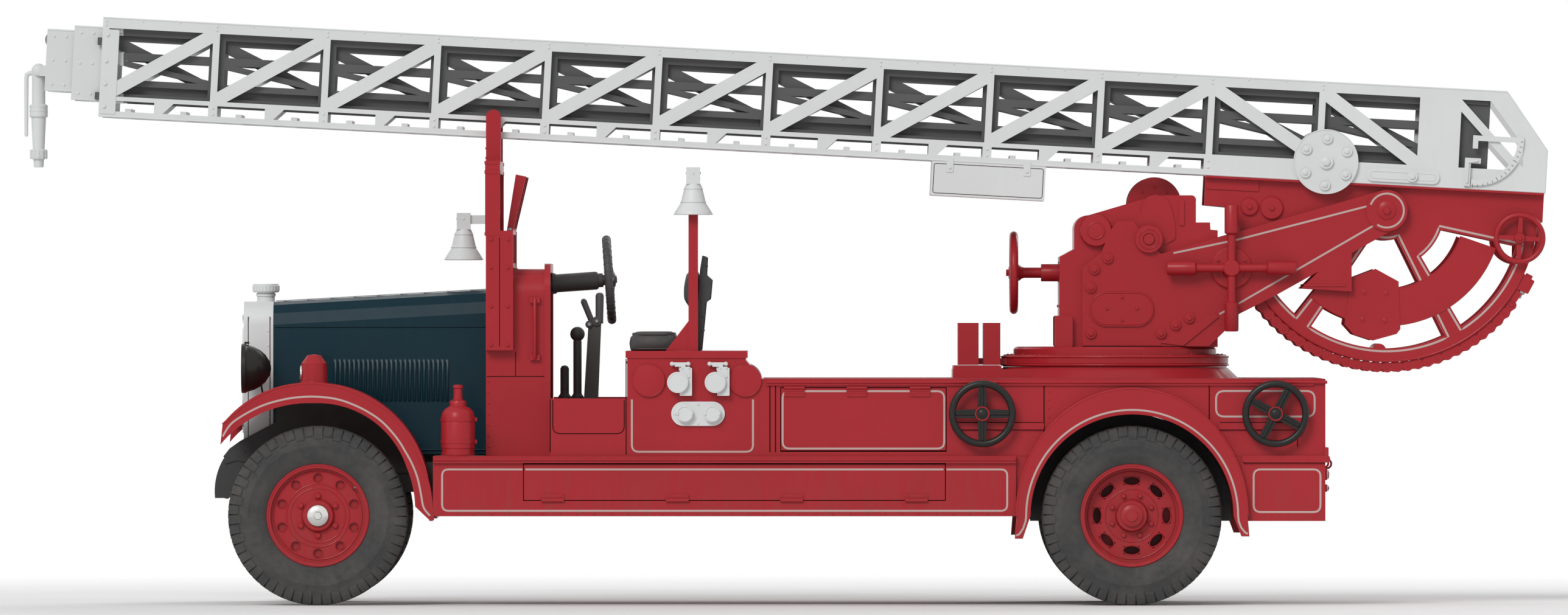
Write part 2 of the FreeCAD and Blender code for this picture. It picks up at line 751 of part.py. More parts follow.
def rear_guard(side):
    x = v.rear_axle_x
    z = v.tyre_radius
    a = v.rear_guard_reach
    b = v.rear_guard_crown

    def on_ellipse(degrees):
        return (x + a * math.cos(math.radians(degrees)), z + b * math.sin(math.radians(degrees)))

    outer = [(x - a - 10, z - 130), on_ellipse(180), on_ellipse(150) + on_ellipse(120),
             on_ellipse(90) + on_ellipse(60), on_ellipse(30) + on_ellipse(0), (x + a + 10, z - 117)]
    radius = v.rear_guard_radius
    inner = [(x + a - 35, z - 117), (x + radius, z), (x, z + radius, x - radius, z), (x - a + 35, z - 130)]
    face = side_pad(side, [outer + inner], "body_half + seat_gap", "guard_outer")
    strip = [(x - radius - 20, z), (x, z + radius + 20, x + radius + 20, z), (x + radius, z),
             (x, z + radius, x - radius, z)]
    roof = side_pad(side, [strip], "rear_guard_inner", "body_half + seat_gap + 1")
    return fuse(face, roof)


node("rear_wings", group(*on_both_sides(rear_guard)))
node("splash_plates", group(*on_both_sides(inner_valance)))


# ---------------------------------------------------------------- running boards, cab floor and seats
def running_board(side):
    length = "board_rear_x - board_front_x"
    tread = side_box(side, length, "board_thickness", "board_front_x", "board_top - board_thickness",
                     "skirt_inner", "board_outer")
    box_height = "board_top - board_thickness - skirt_base"
    skirt = side_box(side, length, box_height, "board_front_x", "skirt_base", "skirt_inner", "skirt_outer")
    cavity = side_box(side, "%s - 2 * panel" % length, "%s - panel" % box_height, "board_front_x + panel",
                      "skirt_base + panel", "skirt_inner + panel", "skirt_outer - flap")
    door = side_box(side, "side_flap_length", "board_top - board_thickness - side_flap_base",
                    "side_flap_x", "side_flap_base", "skirt_outer - flap - 1", "skirt_outer + 1")
    return cut(fuse(tread, skirt), cavity, door)


def hinges(side, shares, start, length, width, face, height, reach):
    """Barrels just off the panel's face, each with a strap on the leaf, at shares of its length."""
    low, high = sorted((height, height + reach))
    parts = []
    for share in shares:
        x = "%s + %s * %g - %g" % (start, length, share, width / 2)
        parts.append(rod("x", 9, width, (x, "%d * (%s + 9 + seat_gap)" % (side, face), height)))
        parts.append(side_box(side, width, high - low, x, low, "%s - 1" % face, "%s + 8" % face))
    return parts


def side_flap(side):
    gap = 5
    top_gap = 8
    height = "board_top - board_thickness - side_flap_base - %g" % (gap + top_gap)
    leaf = side_box(side, "side_flap_length - %g" % (2 * gap), height, "side_flap_x + %g" % gap,
                    "side_flap_base + %g" % gap, "skirt_outer - flap", "skirt_outer")
    return fuse(leaf, *hinges(side, (0.07, 0.365, 0.635, 0.93), "side_flap_x", "side_flap_length", 128,
                              "skirt_outer", v.side_flap_base + 2, 36))


def brackets(side):
    """Arms that carry the running board from the chassis rail."""
    front = v.front_axle_x
    rear = v.rear_axle_x
    return [side_box(side, 50, 60, x, "board_top - board_thickness - 120", "rail_outer + seat_gap",
                     "skirt_inner - seat_gap")
            for x in (front + 950, front + 1650, front + 2350, rear - 1570, rear - 870)]


node("running_boards", group(*on_both_sides(running_board)))
node("board_brackets", group(*brackets(-1), *brackets(1)))
for side, name in ((-1, "left"), (1, "right")):
    node("side_flap_%s" % name, side_flap(side))


def cab_floor():
    start = scuttle_rear_x + v.seat_gap
    length = v.cab_length - 2 * v.seat_gap
    floor = box((length, "2 * body_half - 2 * panel", "panel"),
                (start, "panel - body_half", "floor_top - 40"))
    sides = on_both_sides(lambda side: side_box(side, length, "floor_top - board_top - seat_gap", start,
                                                "board_top + seat_gap", "body_half - panel", "body_half"))
    return fuse(floor, *sides)


node("cab_floor", cab_floor())


def inset_box(outline, wall):
    """The inside of an upright box of sheet, open below."""
    xs = [point[0] for point in outline]
    base = min(point[1] for point in outline)
    middle = (min(xs) + max(xs)) / 2
    inside = []
    for x, z in outline:
        inside.append((x + (wall if x < middle else -wall), base - wall if z == base else z - wall))
    return inside


def seat_box():
    base = v.board_top + v.seat_gap
    half = v.body_half
    outline = [(seat_front_x, base), (seat_front_x, v.seat_box_top - 40), (seat_rear_x, v.seat_box_top - 40),
               (seat_rear_x, v.deck_top + 105), (seat_rear_x + v.seat_slope - v.seat_gap, v.deck_top + 20),
               (seat_rear_x + v.seat_slope - v.seat_gap, base)]
    inner = inset_box(outline, v.panel)
    block = pad("XZ", [outline], -half, 2 * half)
    hollow = pad("XZ", [inner], v.panel - half, 2 * (half - v.panel))
    rail = box(("seat_box_length + 18", "2 * body_half + 16", 40),
               (seat_front_x - 9, "-body_half - 8", "seat_box_top - 40"))
    return fuse(cut(block, hollow), rail)


node("seat_box", seat_box())


def seat_pads():
    """Bench cushion and two back rests, each a plain closed solid."""
    top = v.seat_box_top + v.seat_gap
    cushion = box((273, "2 * body_half - 240", 110), (seat_front_x + 10, "120 - body_half", top))
    x = seat_front_x + 321
    back = x + 73
    rest = [(x, top), (x, top + 404), (x + 7, top + 464), (back, top + 464), (back + 20, top + 404),
            (back, top)]
    rests = on_both_sides(lambda side: side_pad(side, [rest], "body_half - 480", "body_half - 100"))
    return group(cushion, *rests)


node("seat_pads", seat_pads())


# ---------------------------------------------------------------- controls, lamps, bells and fittings
wheel_turn = FreeCAD.Placement(FreeCAD.Vector(scuttle_front_x + 166, v.cab_half - 380, v.scuttle_top - 96),
                               FreeCAD.Rotation(FreeCAD.Vector(0, 1, 0), 86))


def steering_column():
    """A column held under the scuttle's top."""
    column = doc.addObject("Part::Cylinder", "column")
    column.Radius = 30
    column.Height = 500
    column.Placement = wheel_turn
    foot = v.scuttle_top - 131
    height = v.scuttle_top - v.panel - v.seat_gap - foot
    bracket = box((60, 120, height), (scuttle_front_x + 200, v.cab_half - 440, foot))
    return fuse(column, bracket)


def hand_levers():
    """Gear lever, short lever and hand brake on one gate plate."""
    floor = v.floor_top - 20
    # levers: x behind the scuttle, y, height, radius
    levers = [rod("z", radius, height, (scuttle_rear_x + x, y, floor))
              for x, y, height, radius in ((72, 150, 190, 22), (146, 60, 360, 20), (222, -40, 600, 30))]
    knob = doc.addObject("Part::Sphere", "knob")
    knob.Radius = 41
    move(knob, scuttle_rear_x + 146, 60, floor + 387)
    gate = box((230, 250, 14), (scuttle_rear_x + 42, -80, floor + v.seat_gap))
    return fuse(gate, *levers, knob)


node("steering_column", steering_column())
node("hand_levers", hand_levers())


def steering_wheel():
    """Rim, four spokes and boss, turned about the column's own axis."""
    rim = ring(238, 15)
    spokes = [rod(axis, 11, 476, start) for axis, start in (("x", (-238, 0, 0)), ("y", (0, -238, 0)))]
    boss = rod("z", 48, 60, (0, 0, -20))
    wheel = fuse(rim, *spokes, boss)
    wheel.Placement = wheel_turn.multiply(FreeCAD.Placement(FreeCAD.Vector(0, 0, 520.3), FreeCAD.Rotation()))
    return wheel


node("steering_wheel", steering_wheel())


def headlamp(side):
    """A bowl on a bar from the radiator's side."""
    bowl = turned("XZ", "H_Axis", [[(0, 0), (0, 141), (26, 141), (110, 96), (168, 0)]])
    out = v.radiator_half + 245
    reach = out - v.radiator_half - v.seat_gap
    bar = rod("y", 16, reach, (60, -reach if side > 0 else 0, 0))
    return move(fuse(bowl, bar), "radiator_front_x - 6", side * out, "radiator_top - 381")


node("headlamps", group(*on_both_sides(headlamp)))


def bell(x, y, top):
    profile = [(0, 0), (40, 0), (50, -20), (60, -60), (72, -110), (104, -160), (108, -176), (94, -176),
               (60, -110), (46, -34), (0, -34)]
    body = turned("XZ", "V_Axis", [profile])
    block = box((79, 79, 95), (-39.5, -39.5, -2))
    return move(fuse(body, block), x, y, top)


bell_x = seat_front_x + 375
bell_y = 60 - v.body_half
bell_top = v.seat_box_top + 950


def bells():
    top = v.scuttle_top + 229
    front = bell(scuttle_front_x - 138, 0, top)
    bracket = box((160, 50, 50), (scuttle_front_x - 120, -25, top + 30))
    arch = box((50, "2 * cab_half + 18 - 2 * seat_gap", 50),
               (scuttle_front_x + 5, "seat_gap - 9 - cab_half", top + 30))
    return fuse(front, bracket, arch), bell(bell_x, bell_y, bell_top)


front_bell, rear_bell = bells()
node("bells", group(front_bell, rear_bell))


def bell_post():
    """Post and gusset that stand on the seat box at its side."""
    foot = v.seat_box_top + v.seat_gap
    post_x = bell_x - 27
    post = box((54, 54, bell_top - 34 - v.seat_gap - foot), (post_x, bell_y - 27, foot))
    gusset = pad("XZ", [[(post_x, foot), (post_x, foot + 170), (post_x - 130, foot)]], bell_y - 20, 40)
    return fuse(post, gusset)


node("bell_post", bell_post())


def outlets(side):
    """Two valved delivery outlets, two covers, and the plate with two inlets, on the seat box side."""
    face = v.body_half + v.seat_gap
    outlet_z = v.deck_top - 20
    inlet_z = outlet_z - 178
    parts = []
    for x in (seat_front_x + 287, seat_front_x + 500):
        parts.append(fuse(side_rod(side, 48, x, outlet_z, face, face + 70),
                          side_rod(side, 60, x, outlet_z, face + 50, face + 70),
                          side_box(side, 50, 66, x + 20, outlet_z + 23, face, face + 48),
                          side_box(side, 60, 16, x - 16, outlet_z + 89, face + 10, face + 46)))
    left = seat_front_x + 319
    right = seat_front_x + 485
    half = 69
    plate = [(left, inlet_z + half), (left - half, inlet_z, left, inlet_z - half), (right, inlet_z - half),
             (right + half, inlet_z, right, inlet_z + half)]
    parts.append(fuse(side_pad(side, [plate], face, face + 14),
                      *[side_rod(side, 48, x, inlet_z, face + 10, face + 46)
                        for x in (left + 8, right - 2)]))
    for x in (seat_front_x + 123, seat_front_x + 670):
        parts.append(side_rod(side, 92, x, outlet_z + 10, face, face + 14))
    return parts


node("pump_fittings", group(*outlets(-1), *outlets(1)))


def extinguisher(side):
    profile = [(0, 0), (96, 0), (96, 235), (60, 281), (47, 290), (47, 312), (28, 314), (28, 405), (0, 405)]
    return move(turned("XZ", "V_Axis", [profile]), scuttle_front_x - 157, side * (v.body_half - 80),
                "board_top + seat_gap")


node("fire_extinguishers", group(*on_both_sides(extinguisher)))


# ---------------------------------------------------------------- rear body
def rear_body():
    """Deck and side panels, open below, with a locker behind each side flap."""
    length = v.body_rear_x - body_front_x
    half = v.body_half
    wall = v.panel
    base = v.board_top + v.seat_gap
    block = box((length, 2 * half, v.deck_top - base), (body_front_x, -half, base))
    hollow = box((length - 2 * wall, 2 * half - 2 * wall, v.deck_top - base),
                 (body_front_x + wall, wall - half, base - wall))
    arches = rod("y", v.rear_guard_radius + 20 + v.seat_gap, 2 * half + 20,
                 (v.rear_axle_x, -half - 10, v.tyre_radius))
    windows = on_both_sides(lambda side: side_box(side, "locker_length", "locker_height", "locker_front_x",
                                                  "locker_base", "body_half - panel - 1", "body_half + 1"))
    shell = cut(block, hollow, arches, *windows)
    lockers = []
    for side in (-1, 1):
        walls = side_box(side, "locker_length + 2 * panel", "deck_top - locker_base + panel - 1",
                         "locker_front_x - panel", "locker_base - panel", "body_half - locker_depth",
                         "body_half - panel + 1")
        inside = side_box(side, "locker_length", "deck_top - locker_base", "locker_front_x", "locker_base",
                          "body_half - locker_depth + panel", "body_half + 5")
        lockers.append(cut(walls, inside))
    rail = [side_box(side, "body_rear_x + 12 - locker_front_x", 38, "locker_front_x - 80", "deck_top - 38",
                     "body_half - 2", "body_half + 14") for side in (-1, 1)]
    tail_rail = box((24, "2 * body_half + 28", 48),
                    ("body_rear_x - 6", "-body_half - 14", "board_top + seat_gap"))
    return fuse(shell, *lockers, *rail, tail_rail)


node("rear_body", rear_body())


def locker_flap(side):
    gap = 5
    low_gap = 8
    leaf = side_box(side, "locker_length - %g" % (2 * gap), "locker_height - %g" % (gap + low_gap),
                    "locker_front_x + %g" % gap, "locker_base + %g" % low_gap, "body_half - flap",
                    "body_half")
    return fuse(leaf, *hinges(side, (0.085, 0.46, 0.84), "locker_front_x", "locker_length", 116,
                              "body_half", v.locker_base + v.locker_height - 2, -50))


for side, name in ((-1, "left"), (1, "right")):
    node("locker_flap_%s" % name, locker_flap(side))


def tail_locker(side):
    """A closed locker hung below the body behind the rear wheel."""
    start = v.rear_axle_x + v.rear_guard_radius + v.guard_skin + 24
    return side_box(side, v.body_rear_x - start, "board_top - 480", start, 480, "skirt_inner", "body_half")


node("tail_lockers", group(*on_both_sides(tail_locker)))


def jack_wheel(side, x, turn):
    """A black handwheel on its screw, standing off the body side."""
    rim = ring(170, 20)
    spokes = [box((340, 48, 20), (-170, -24, -10)), box((48, 340, 20), (-24, -170, -10))]
    boss = rod("z", 42, 60, (0, 0, -30))
    stand = rod("z", 26, 44, (0, 0, -70))
    wheel = fuse(rim, *spokes, boss, stand)
    out = FreeCAD.Rotation(FreeCAD.Vector(1, 0, 0), -90 * side)
    wheel.Placement = FreeCAD.Placement(FreeCAD.Vector(x, side * (v.body_half + 70.3), 1089),
                                        out.multiply(FreeCAD.Rotation(FreeCAD.Vector(0, 0, 1), turn)))
    return wheel


node("jack_handwheels", group(*[jack_wheel(side, x, turn) for side in (-1, 1)
                                for x, turn in ((v.rear_axle_x - 850, 0), (v.rear_axle_x + 813, 25))]))


# ---------------------------------------------------------------- turntable and its gear
def turntable_base():
    """Fixed slewing ring on the deck, with the platform in front of it."""
    low = v.deck_top + v.seat_gap
    ring = turned("XZ", "V_Axis", [[(v.ring_radius - 120, low), (v.base_radius + 60, low),
                                    (v.base_radius, v.ring_top - 9), (v.ring_radius, v.ring_top - 9),
                                    (v.ring_radius, v.ring_top - v.seat_gap),
                                    (v.ring_radius - 120, v.ring_top - v.seat_gap)]])
    platform = box((930, 1000, "ring_top - 14 - deck_top - seat_gap"), ("turntable_x - 930", -500, low))
    well = rod("z", "ring_radius - 120", 200, ("turntable_x", 0, "deck_top - 50"))
    return fuse(move(ring, "turntable_x"), cut(platform, well))


node("turntable_base", turntable_base())


def turntable():
    low = v.ring_top
    disc = [(0, low), (v.base_radius - 8, low), (v.base_radius, low + 20),
            (v.base_radius, v.lower_disc_top - 12), (v.base_radius - 12, v.lower_disc_top),
            (v.upper_disc_radius, v.lower_disc_top), (v.upper_disc_radius, v.upper_disc_top - 12),
            (v.upper_disc_radius - 12, v.upper_disc_top), (0, v.upper_disc_top)]
    plate = move(turned("XZ", "V_Axis", [disc]), "turntable_x")
    # step boards for the operator, on two arms from the disc
    front = v.turntable_x - 899
    boards = [box((size, 520, 240), (x, -260, "ring_top + 10"))
              for x, size in ((front, 118), (front + 145, 97))]
    arms = [box((340, 40, 36), (front, y, "ring_top + 12")) for y in (-190, 150)]
    return fuse(plate, *boards, *arms)


node("turntable", turntable())


# the gear below the ladder is as high as the pivot allows
rise = (v.pivot_height - v.upper_disc_top) / 779


def above_disc(outline, floor):
    """Points given from the turntable's axis and in heights for the usual pivot, in the vehicle's frame."""
    placed = []
    for point in outline:
        placed.append(tuple(floor + value * rise if k % 2 else v.turntable_x + value
                            for k, value in enumerate(point)))
    return placed


def housing_outline():
    return above_disc([(-321, 0), (-321, 514), (-238, 559), (-238, 666), (-222, 720, -157, 752), (230, 866),
                       (426, 866), (450, 858, 457, 832), (457, 711), (537, 711), (540, 670), (581, 666),
                       (581, 0)], v.upper_disc_top)


drum_x = v.turntable_x + 222
drum_z = v.upper_disc_top + 816 * rise


def winch_housing():
    block = pad("XZ", [housing_outline()], "seat_gap - housing_half", "2 * housing_half - 2 * seat_gap")
    block.Placement = FreeCAD.Placement(FreeCAD.Vector(0, 0, v.seat_gap), FreeCAD.Rotation())
    pocket = rod("y", "drum_radius + 6", 520, (drum_x, -260, drum_z))
    bore = rod("y", "30 + seat_gap", 640, (drum_x, -320, drum_z))
    return cut(block, pocket, bore)


node("winch_housing", winch_housing())


def winch_drum():
    barrel = rod("y", "drum_radius - 24", 400, (drum_x, -200, drum_z))
    flanges = [rod("y", "drum_radius", 30, (drum_x, y, drum_z)) for y in (-250, 220)]
    shaft = rod("y", 30, 630, (drum_x, -315, drum_z))
    return fuse(barrel, *flanges, shaft)


node("winch_drum", winch_drum())


def pivot_arm(side):
    """The cover on the housing's side, drawn out to the elevation pivot."""
    floor = v.upper_disc_top + 6
    px = v.pivot_x
    pz = v.pivot_height
    eye = 118
    cheek = above_disc([(-191, 0), (-191, 446), (-84, 532), (-36, 650), (5, 712), (102, 712), (150, 640),
                        (257, 526)], floor)
    heel = above_disc([(909, 288), (702, 183), (619, 84), (532, 0)], floor)
    outline = cheek + [polar(eye, 104, px, pz), polar(eye, 0, px, pz) + polar(eye, -76, px, pz)] + heel
    inner = "housing_half + arm_thickness - 1"
    plate = side_pad(side, [outline], "housing_half", "housing_half + arm_thickness")
    boss = side_rod(side, eye, "pivot_x", "pivot_height", "housing_half",
                    "housing_half + arm_thickness + 12")
    # bosses on the plate: radius, x and height as in the outline, how far each stands out
    studs = []
    for radius, x, z, out in ((80, 188, 610, 22), (30, 188, 610, 40), (31, -46, 500, 10),
                              (31, -122, 437, 10), (31, -143, 333, 10), (31, -143, 72, 10),
                              (31, 257, 72, 10), (31, 340, 120, 10), (31, 418, 160, 10)):
        at = above_disc([(x, z)], floor)[0]
        studs.append(side_rod(side, radius, at[0], at[1], inner, "housing_half + arm_thickness + %g" % out))
    cover = above_disc([(-52, 304), (-148, 208, -52, 112), (120, 112), (216, 208, 120, 304)], floor)
    window = side_pad(side, [cover], inner, "housing_half + arm_thickness + 12")
    crate = above_disc([(1058, 329), (1344, 311), (1344, 543), (1244, 513)], floor)
    rest = side_pad(side, [crate], "housing_half", "housing_half + arm_thickness")
    return fuse(plate, boss, *studs, window, rest)


def pivot_arms():
    shaft = rod("y", "pivot_radius", "2 * housing_half + 20",
                ("pivot_x", "-housing_half - 10", "pivot_height"))
    return fuse(*on_both_sides(pivot_arm), shaft)


node("pivot_arms", pivot_arms())


def hand_controls():
    """Slewing handwheel at the front and the cross handle on the left arm."""
    wheel_z = v.upper_disc_top + 425 * rise
    housing_front = v.turntable_x - 321
    rim = move(ring(213, 24, "YZ"), housing_front - 257, 0, wheel_z)
    spokes = [box((24, 30, 426), (housing_front - 269, -15, wheel_z - 213)),
              box((24, 426, 30), (housing_front - 269, -213, wheel_z - 15))]
    shaft = rod("x", 30, 257 + 12 - 0.3, (housing_front - 269, 0, wheel_z))
    collar = rod("x", 48, 100, (housing_front - 100.3, 0, wheel_z))
    wheel = fuse(rim, *spokes, shaft, collar)
    x = v.pivot_x - 886
    z = v.upper_disc_top + 450 * rise
    face = v.housing_half + v.arm_thickness + v.seat_gap
    hub = rod("y", 46, 95, (x, -face - 95, z))
    disc = rod("y", 117, 20, (x, -face - 20, z))
    y = -face - 65
    bars = [rod("x", 24, 738, (x - 369, y, z)), rod("z", 24, 722, (x, y, z - 361))]
    grips = [rod("x", 40, 165, (x - 369, y, z)), rod("x", 40, 165, (x + 204, y, z)),
             rod("z", 40, 165, (x, y, z - 361)), rod("z", 40, 165, (x, y, z + 196))]
    return group(wheel, fuse(hub, disc, *bars, *grips))


node("hand_controls", hand_controls())


# ---------------------------------------------------------------- elevating frame and its chain
def window(start, end, inner, outer):
    """An opening between two spokes, from near the hub to the rim."""
    corner = 4
    return [polar(inner, start + corner), polar(outer, start), arc_to(outer, start, end),
            polar(inner, end - corner), arc_to(inner, end - corner, start + corner)]


def elevating_frame():
    """Two toothless quadrants below the ladder, joined by cross tubes and the pivot's sleeve."""
    rim = v.sector_radius
    inner = rim - v.sector_rim
    under = v.ladder_offset - v.seat_gap
    tail = v.ladder_tail - 8
    outline = [(-1040, under), (-1040, -22), (-855, -30), polar(rim, 200), arc_to(rim, 200, 270),
               arc_to(rim, 270, 358), (tail, -20), (tail, under)]
    share = rim / 862
    holes = [window(205, 232, 330 * share, inner), window(240, 298, 170 * share, inner),
             window(306, 348, 330 * share, inner)]
    plates = on_both_sides(lambda side: side_pad(side, [outline] + holes, "sector_inner", "sector_outer"))
    far = 659 * share
    near = 445 * share
    band = [polar(far, 232), arc_to(far, 232, 344), polar(near, 344), arc_to(near, 344, 232)]
    block = [(x * share, z * share)
             for x, z in ((-180, -395), (-205, -660), (-150, -715), (-40, -745), (95, -700), (115, -670),
                          (90, -400), (-45, -335))]
    raised = on_both_sides(lambda side: side_pad(side, [band], "sector_outer - 1", "sector_outer + 3"))
    blocks = on_both_sides(lambda side: side_pad(side, [block], "sector_outer - 1", "sector_outer + 7"))
    flanges = on_both_sides(lambda side: side_box(side, 1040 + tail, 12, -1040, under - 12,
                                                  "sector_outer - 1", "base_half"))
    sleeve = rod("y", "pivot_radius + 40", "2 * sector_inner + 10", (0, "-sector_inner - 5", 0))
    bore = rod("y", "pivot_radius + running_gap", 900, (0, -450, 0))
    cross = [rod("y", radius, "2 * sector_inner + 94", (x, "-sector_inner - 47", z))
             for x, z, radius in ((-781, -20, 45), (-654, -20, 60), (600, 40, 45), (0, 62 - rim, 40))]
    return cut(fuse(*plates, *raised, *blocks, *flanges, sleeve, *cross), bore)


node("elevating_frame", on_ladder(elevating_frame()))


def chain(side):
    """A roller chain round the quadrant's rim as one run of rounded link plates."""
    low = v.sector_radius + v.seat_gap
    high = low + v.chain_depth
    waist = high - 12
    pitch = v.chain_pitch_angle
    start = 219
    count = int((331 - start) / pitch)
    outline = [polar(low, start), polar(waist, start)]
    for k in range(count):
        angle = start + pitch * k
        outline.append(polar(high, angle + pitch / 2) + polar(waist, angle + pitch))
    end = start + pitch * count
    outline += [polar(low, end), arc_to(low, end, (start + end) / 2), arc_to(low, (start + end) / 2, start)]
    return side_pad(side, [outline], "sector_inner + 8", "sector_outer - 8")


def chain_anchor(side):
    """The tensioner that holds the chain's rear end to the rim."""
    low = v.sector_radius + v.seat_gap
    outline = [polar(low, 332), polar(low + 75, 332.5), polar(low + 75, 338), polar(low, 338.5),
               arc_to(low, 338.5, 332)]
    return side_pad(side, [outline], "sector_inner + 4", "sector_outer - 4")


node("quadrant_chains", on_ladder(group(*on_both_sides(chain), *on_both_sides(chain_anchor))))


def ladder_handwheel(side):
    """Handwheel at the frame's tail, on its shaft."""
    x = v.sector_radius - 97
    z = -118
    y = side * 425
    rim = move(ring(133, 15, "XZ"), x, y, z)
    spokes = [box((266, 16, 26), (x - 133, y - 8, z - 13)), box((26, 16, 266), (x - 13, y - 8, z - 133))]
    boss = side_rod(side, 26, x, z, "sector_outer + seat_gap", 450)
    return fuse(rim, *spokes, boss)


node("ladder_handwheels", on_ladder(group(*on_both_sides(ladder_handwheel))))


# ---------------------------------------------------------------- ladder sections
def truss_holes(bottom, top, post, brace, bays):
    """A triangle of open work either side of each bay's brace; a bay is its posts and the brace's lean."""
    holes = []
    for left, right, rising in bays:
        a = left + post / 2
        b = right - post / 2
        if rising:
            holes.append([(a, bottom + brace), (b - brace, top), (a, top)])
            holes.append([(a + brace, bottom), (b, bottom), (b, top - brace)])
        else:
            holes.append([(a + brace, top), (b, top), (b, bottom + brace)])
            holes.append([(a, bottom), (b - brace, bottom), (a, top - brace)])
    return holes


bay = (v.ladder_reach - v.last_post - v.first_post) / v.bays


def base_outline():
    """The base section's side, its tail cut back at the top, with its openings."""
    low = v.ladder_offset
    high = low + v.ladder_depth
    front = -v.ladder_reach
    tail = v.ladder_tail
    outline = [(front, low), (tail, low), (tail, low + 241), (tail - 252, high), (front, high)]
    posts = [front + v.first_post + bay * k for k in range(12)]
    bays = [(posts[k], posts[k + 1], k < 10) for k in range(11)]
    bays.append((posts[11], posts[11] + 575, False))
    holes = truss_holes(low + 120, high - 62, 38, 55, bays)
    # slots in the bottom rail, two to a bay
    for k in range(10):
        left = posts[k] + 25
        middle = left + 0.43 * bay
        right = posts[k + 1] - 26.5
        holes.append([(left, low + 35), (middle, low + 35), (middle, low + 95), (left, low + 95)])
        holes.append([(middle + 50, low + 35), (right, low + 35), (right, low + 95),
                      (middle + 110, low + 95)])
    holes.append([(395, high - 62), (560, high - 62), (760, low + 260), (760, low + 140)])
    holes.append([(395, high - 130), (395, low + 120), (710, low + 120)])
    return [outline] + holes


def rungs(start, end, height, half, count_gap):
    """Rungs from one side to the other, each short of the sides by the seat gap."""
    count = int((end - start) / v.rung_spacing) + 1
    return [box((v.rung_width, 2 * half - 2 * count_gap, v.rung_width * 0.7),
                (start + v.rung_spacing * k, count_gap - half, height)) for k in range(count)]


def ladder_base():
    inner = v.base_half - v.base_side
    sides = on_both_sides(lambda side: side_pad(side, base_outline(), "base_half - base_side", "base_half"))
    steps = rungs(150 - v.ladder_reach, v.ladder_tail - 100, v.ladder_offset + 30, inner, v.seat_gap)
    # guide shoes for the next section, at the head
    shoes = [side_box(side, 110, 20, "-ladder_reach + 6", z,
                      "base_half - base_side - section_gap + seat_gap", "base_half - base_side + 1")
             for side in (-1, 1) for z in ("middle_bottom + 8", "middle_bottom + middle_depth - 28")]
    left = fuse(sides[0], *shoes[:2])
    right = fuse(sides[1], *shoes[2:])
    return group(left, right, *steps)


node("ladder_base", on_ladder(ladder_base()))


def ladder_middle():
    outer = v.base_half - v.base_side - v.section_gap
    inner = outer - v.middle_side
    front = -v.ladder_reach - v.middle_stub
    low = v.middle_bottom
    high = low + v.middle_depth
    outline = [(front, low), (v.middle_tail, low), (v.middle_tail, high), (front, high)]
    holes = []
    posts = [front + 190 + bay * k for k in range(13)]
    for k in range(12):
        a = posts[k] + 45
        b = posts[k + 1] - 45
        holes.append([(a, low + 50), (b, low + 50), (b, low + 95), (a, low + 95)])
        holes.append([(a, low + 130), (b - 60, low + 130), (a, low + 220)])
        holes.append([(a + 60, low + 240), (b, low + 150), (b, low + 240)])
        holes.append([(a, low + 285), (b, low + 285), (b, high - 45), (a, high - 45)])
    sides = [side_pad(side, [outline] + holes, inner, outer) for side in (-1, 1)]
    shoes = [side_box(side, 160, 20, v.middle_tail - 170, z, outer - 1, outer + v.section_gap - v.seat_gap)
             for side in (-1, 1) for z in (low + 1, high - 30)]
    guides = [side_box(side, 100, 20, front + 6, z, inner - v.section_gap + 2 + v.seat_gap, inner + 1)
              for side in (-1, 1) for z in (v.top_bottom + 8, v.top_bottom + v.top_depth - 28)]
    left = fuse(sides[0], *shoes[:2], *guides[:2])
    right = fuse(sides[1], *shoes[2:], *guides[2:])
    return group(left, right, *rungs(front + 150, v.middle_tail - 80, low + 3, inner, v.seat_gap))


node("ladder_middle", on_ladder(ladder_middle()))


def ladder_top():
    outer = v.base_half - v.base_side - v.section_gap - v.middle_side - v.section_gap + 2
    inner = outer - v.top_side
    front = -v.ladder_reach - v.middle_stub - v.top_stub
    low = v.top_bottom
    high = low + v.top_depth
    outline = [(front, low), (v.top_tail, low), (v.top_tail, high), (front, high)]
    holes = []
    posts = [front + 350 + bay * k for k in range(13)]
    for k in range(12):
        a = posts[k] + 40
        b = posts[k + 1] - 40
        holes.append([(a, low + 50), (b - 60, low + 50), (a, high - 90)])
        holes.append([(a + 60, high - 45), (b, low + 90), (b, high - 45)])
    sides = [side_pad(side, [outline] + holes, inner, outer) for side in (-1, 1)]
    shoes = [side_box(side, 160, 20, v.top_tail - 170, z, outer - 1, outer + v.section_gap - 2 - v.seat_gap)
             for side in (-1, 1) for z in (low + 1, high - 30)]
    half = inner - v.seat_gap
    head = fuse(box((60, 2 * half, 90), (front, -half, low + 70)),
                *[box((70, 60, 60), (front - 40, y, low + 85)) for y in (-120, 60)])
    left = fuse(sides[0], *shoes[:2])
    right = fuse(sides[1], *shoes[2:])
    return group(left, right, head, *rungs(front + 150, v.top_tail - 80, low + 3, inner, v.seat_gap))


node("ladder_top", on_ladder(ladder_top()))


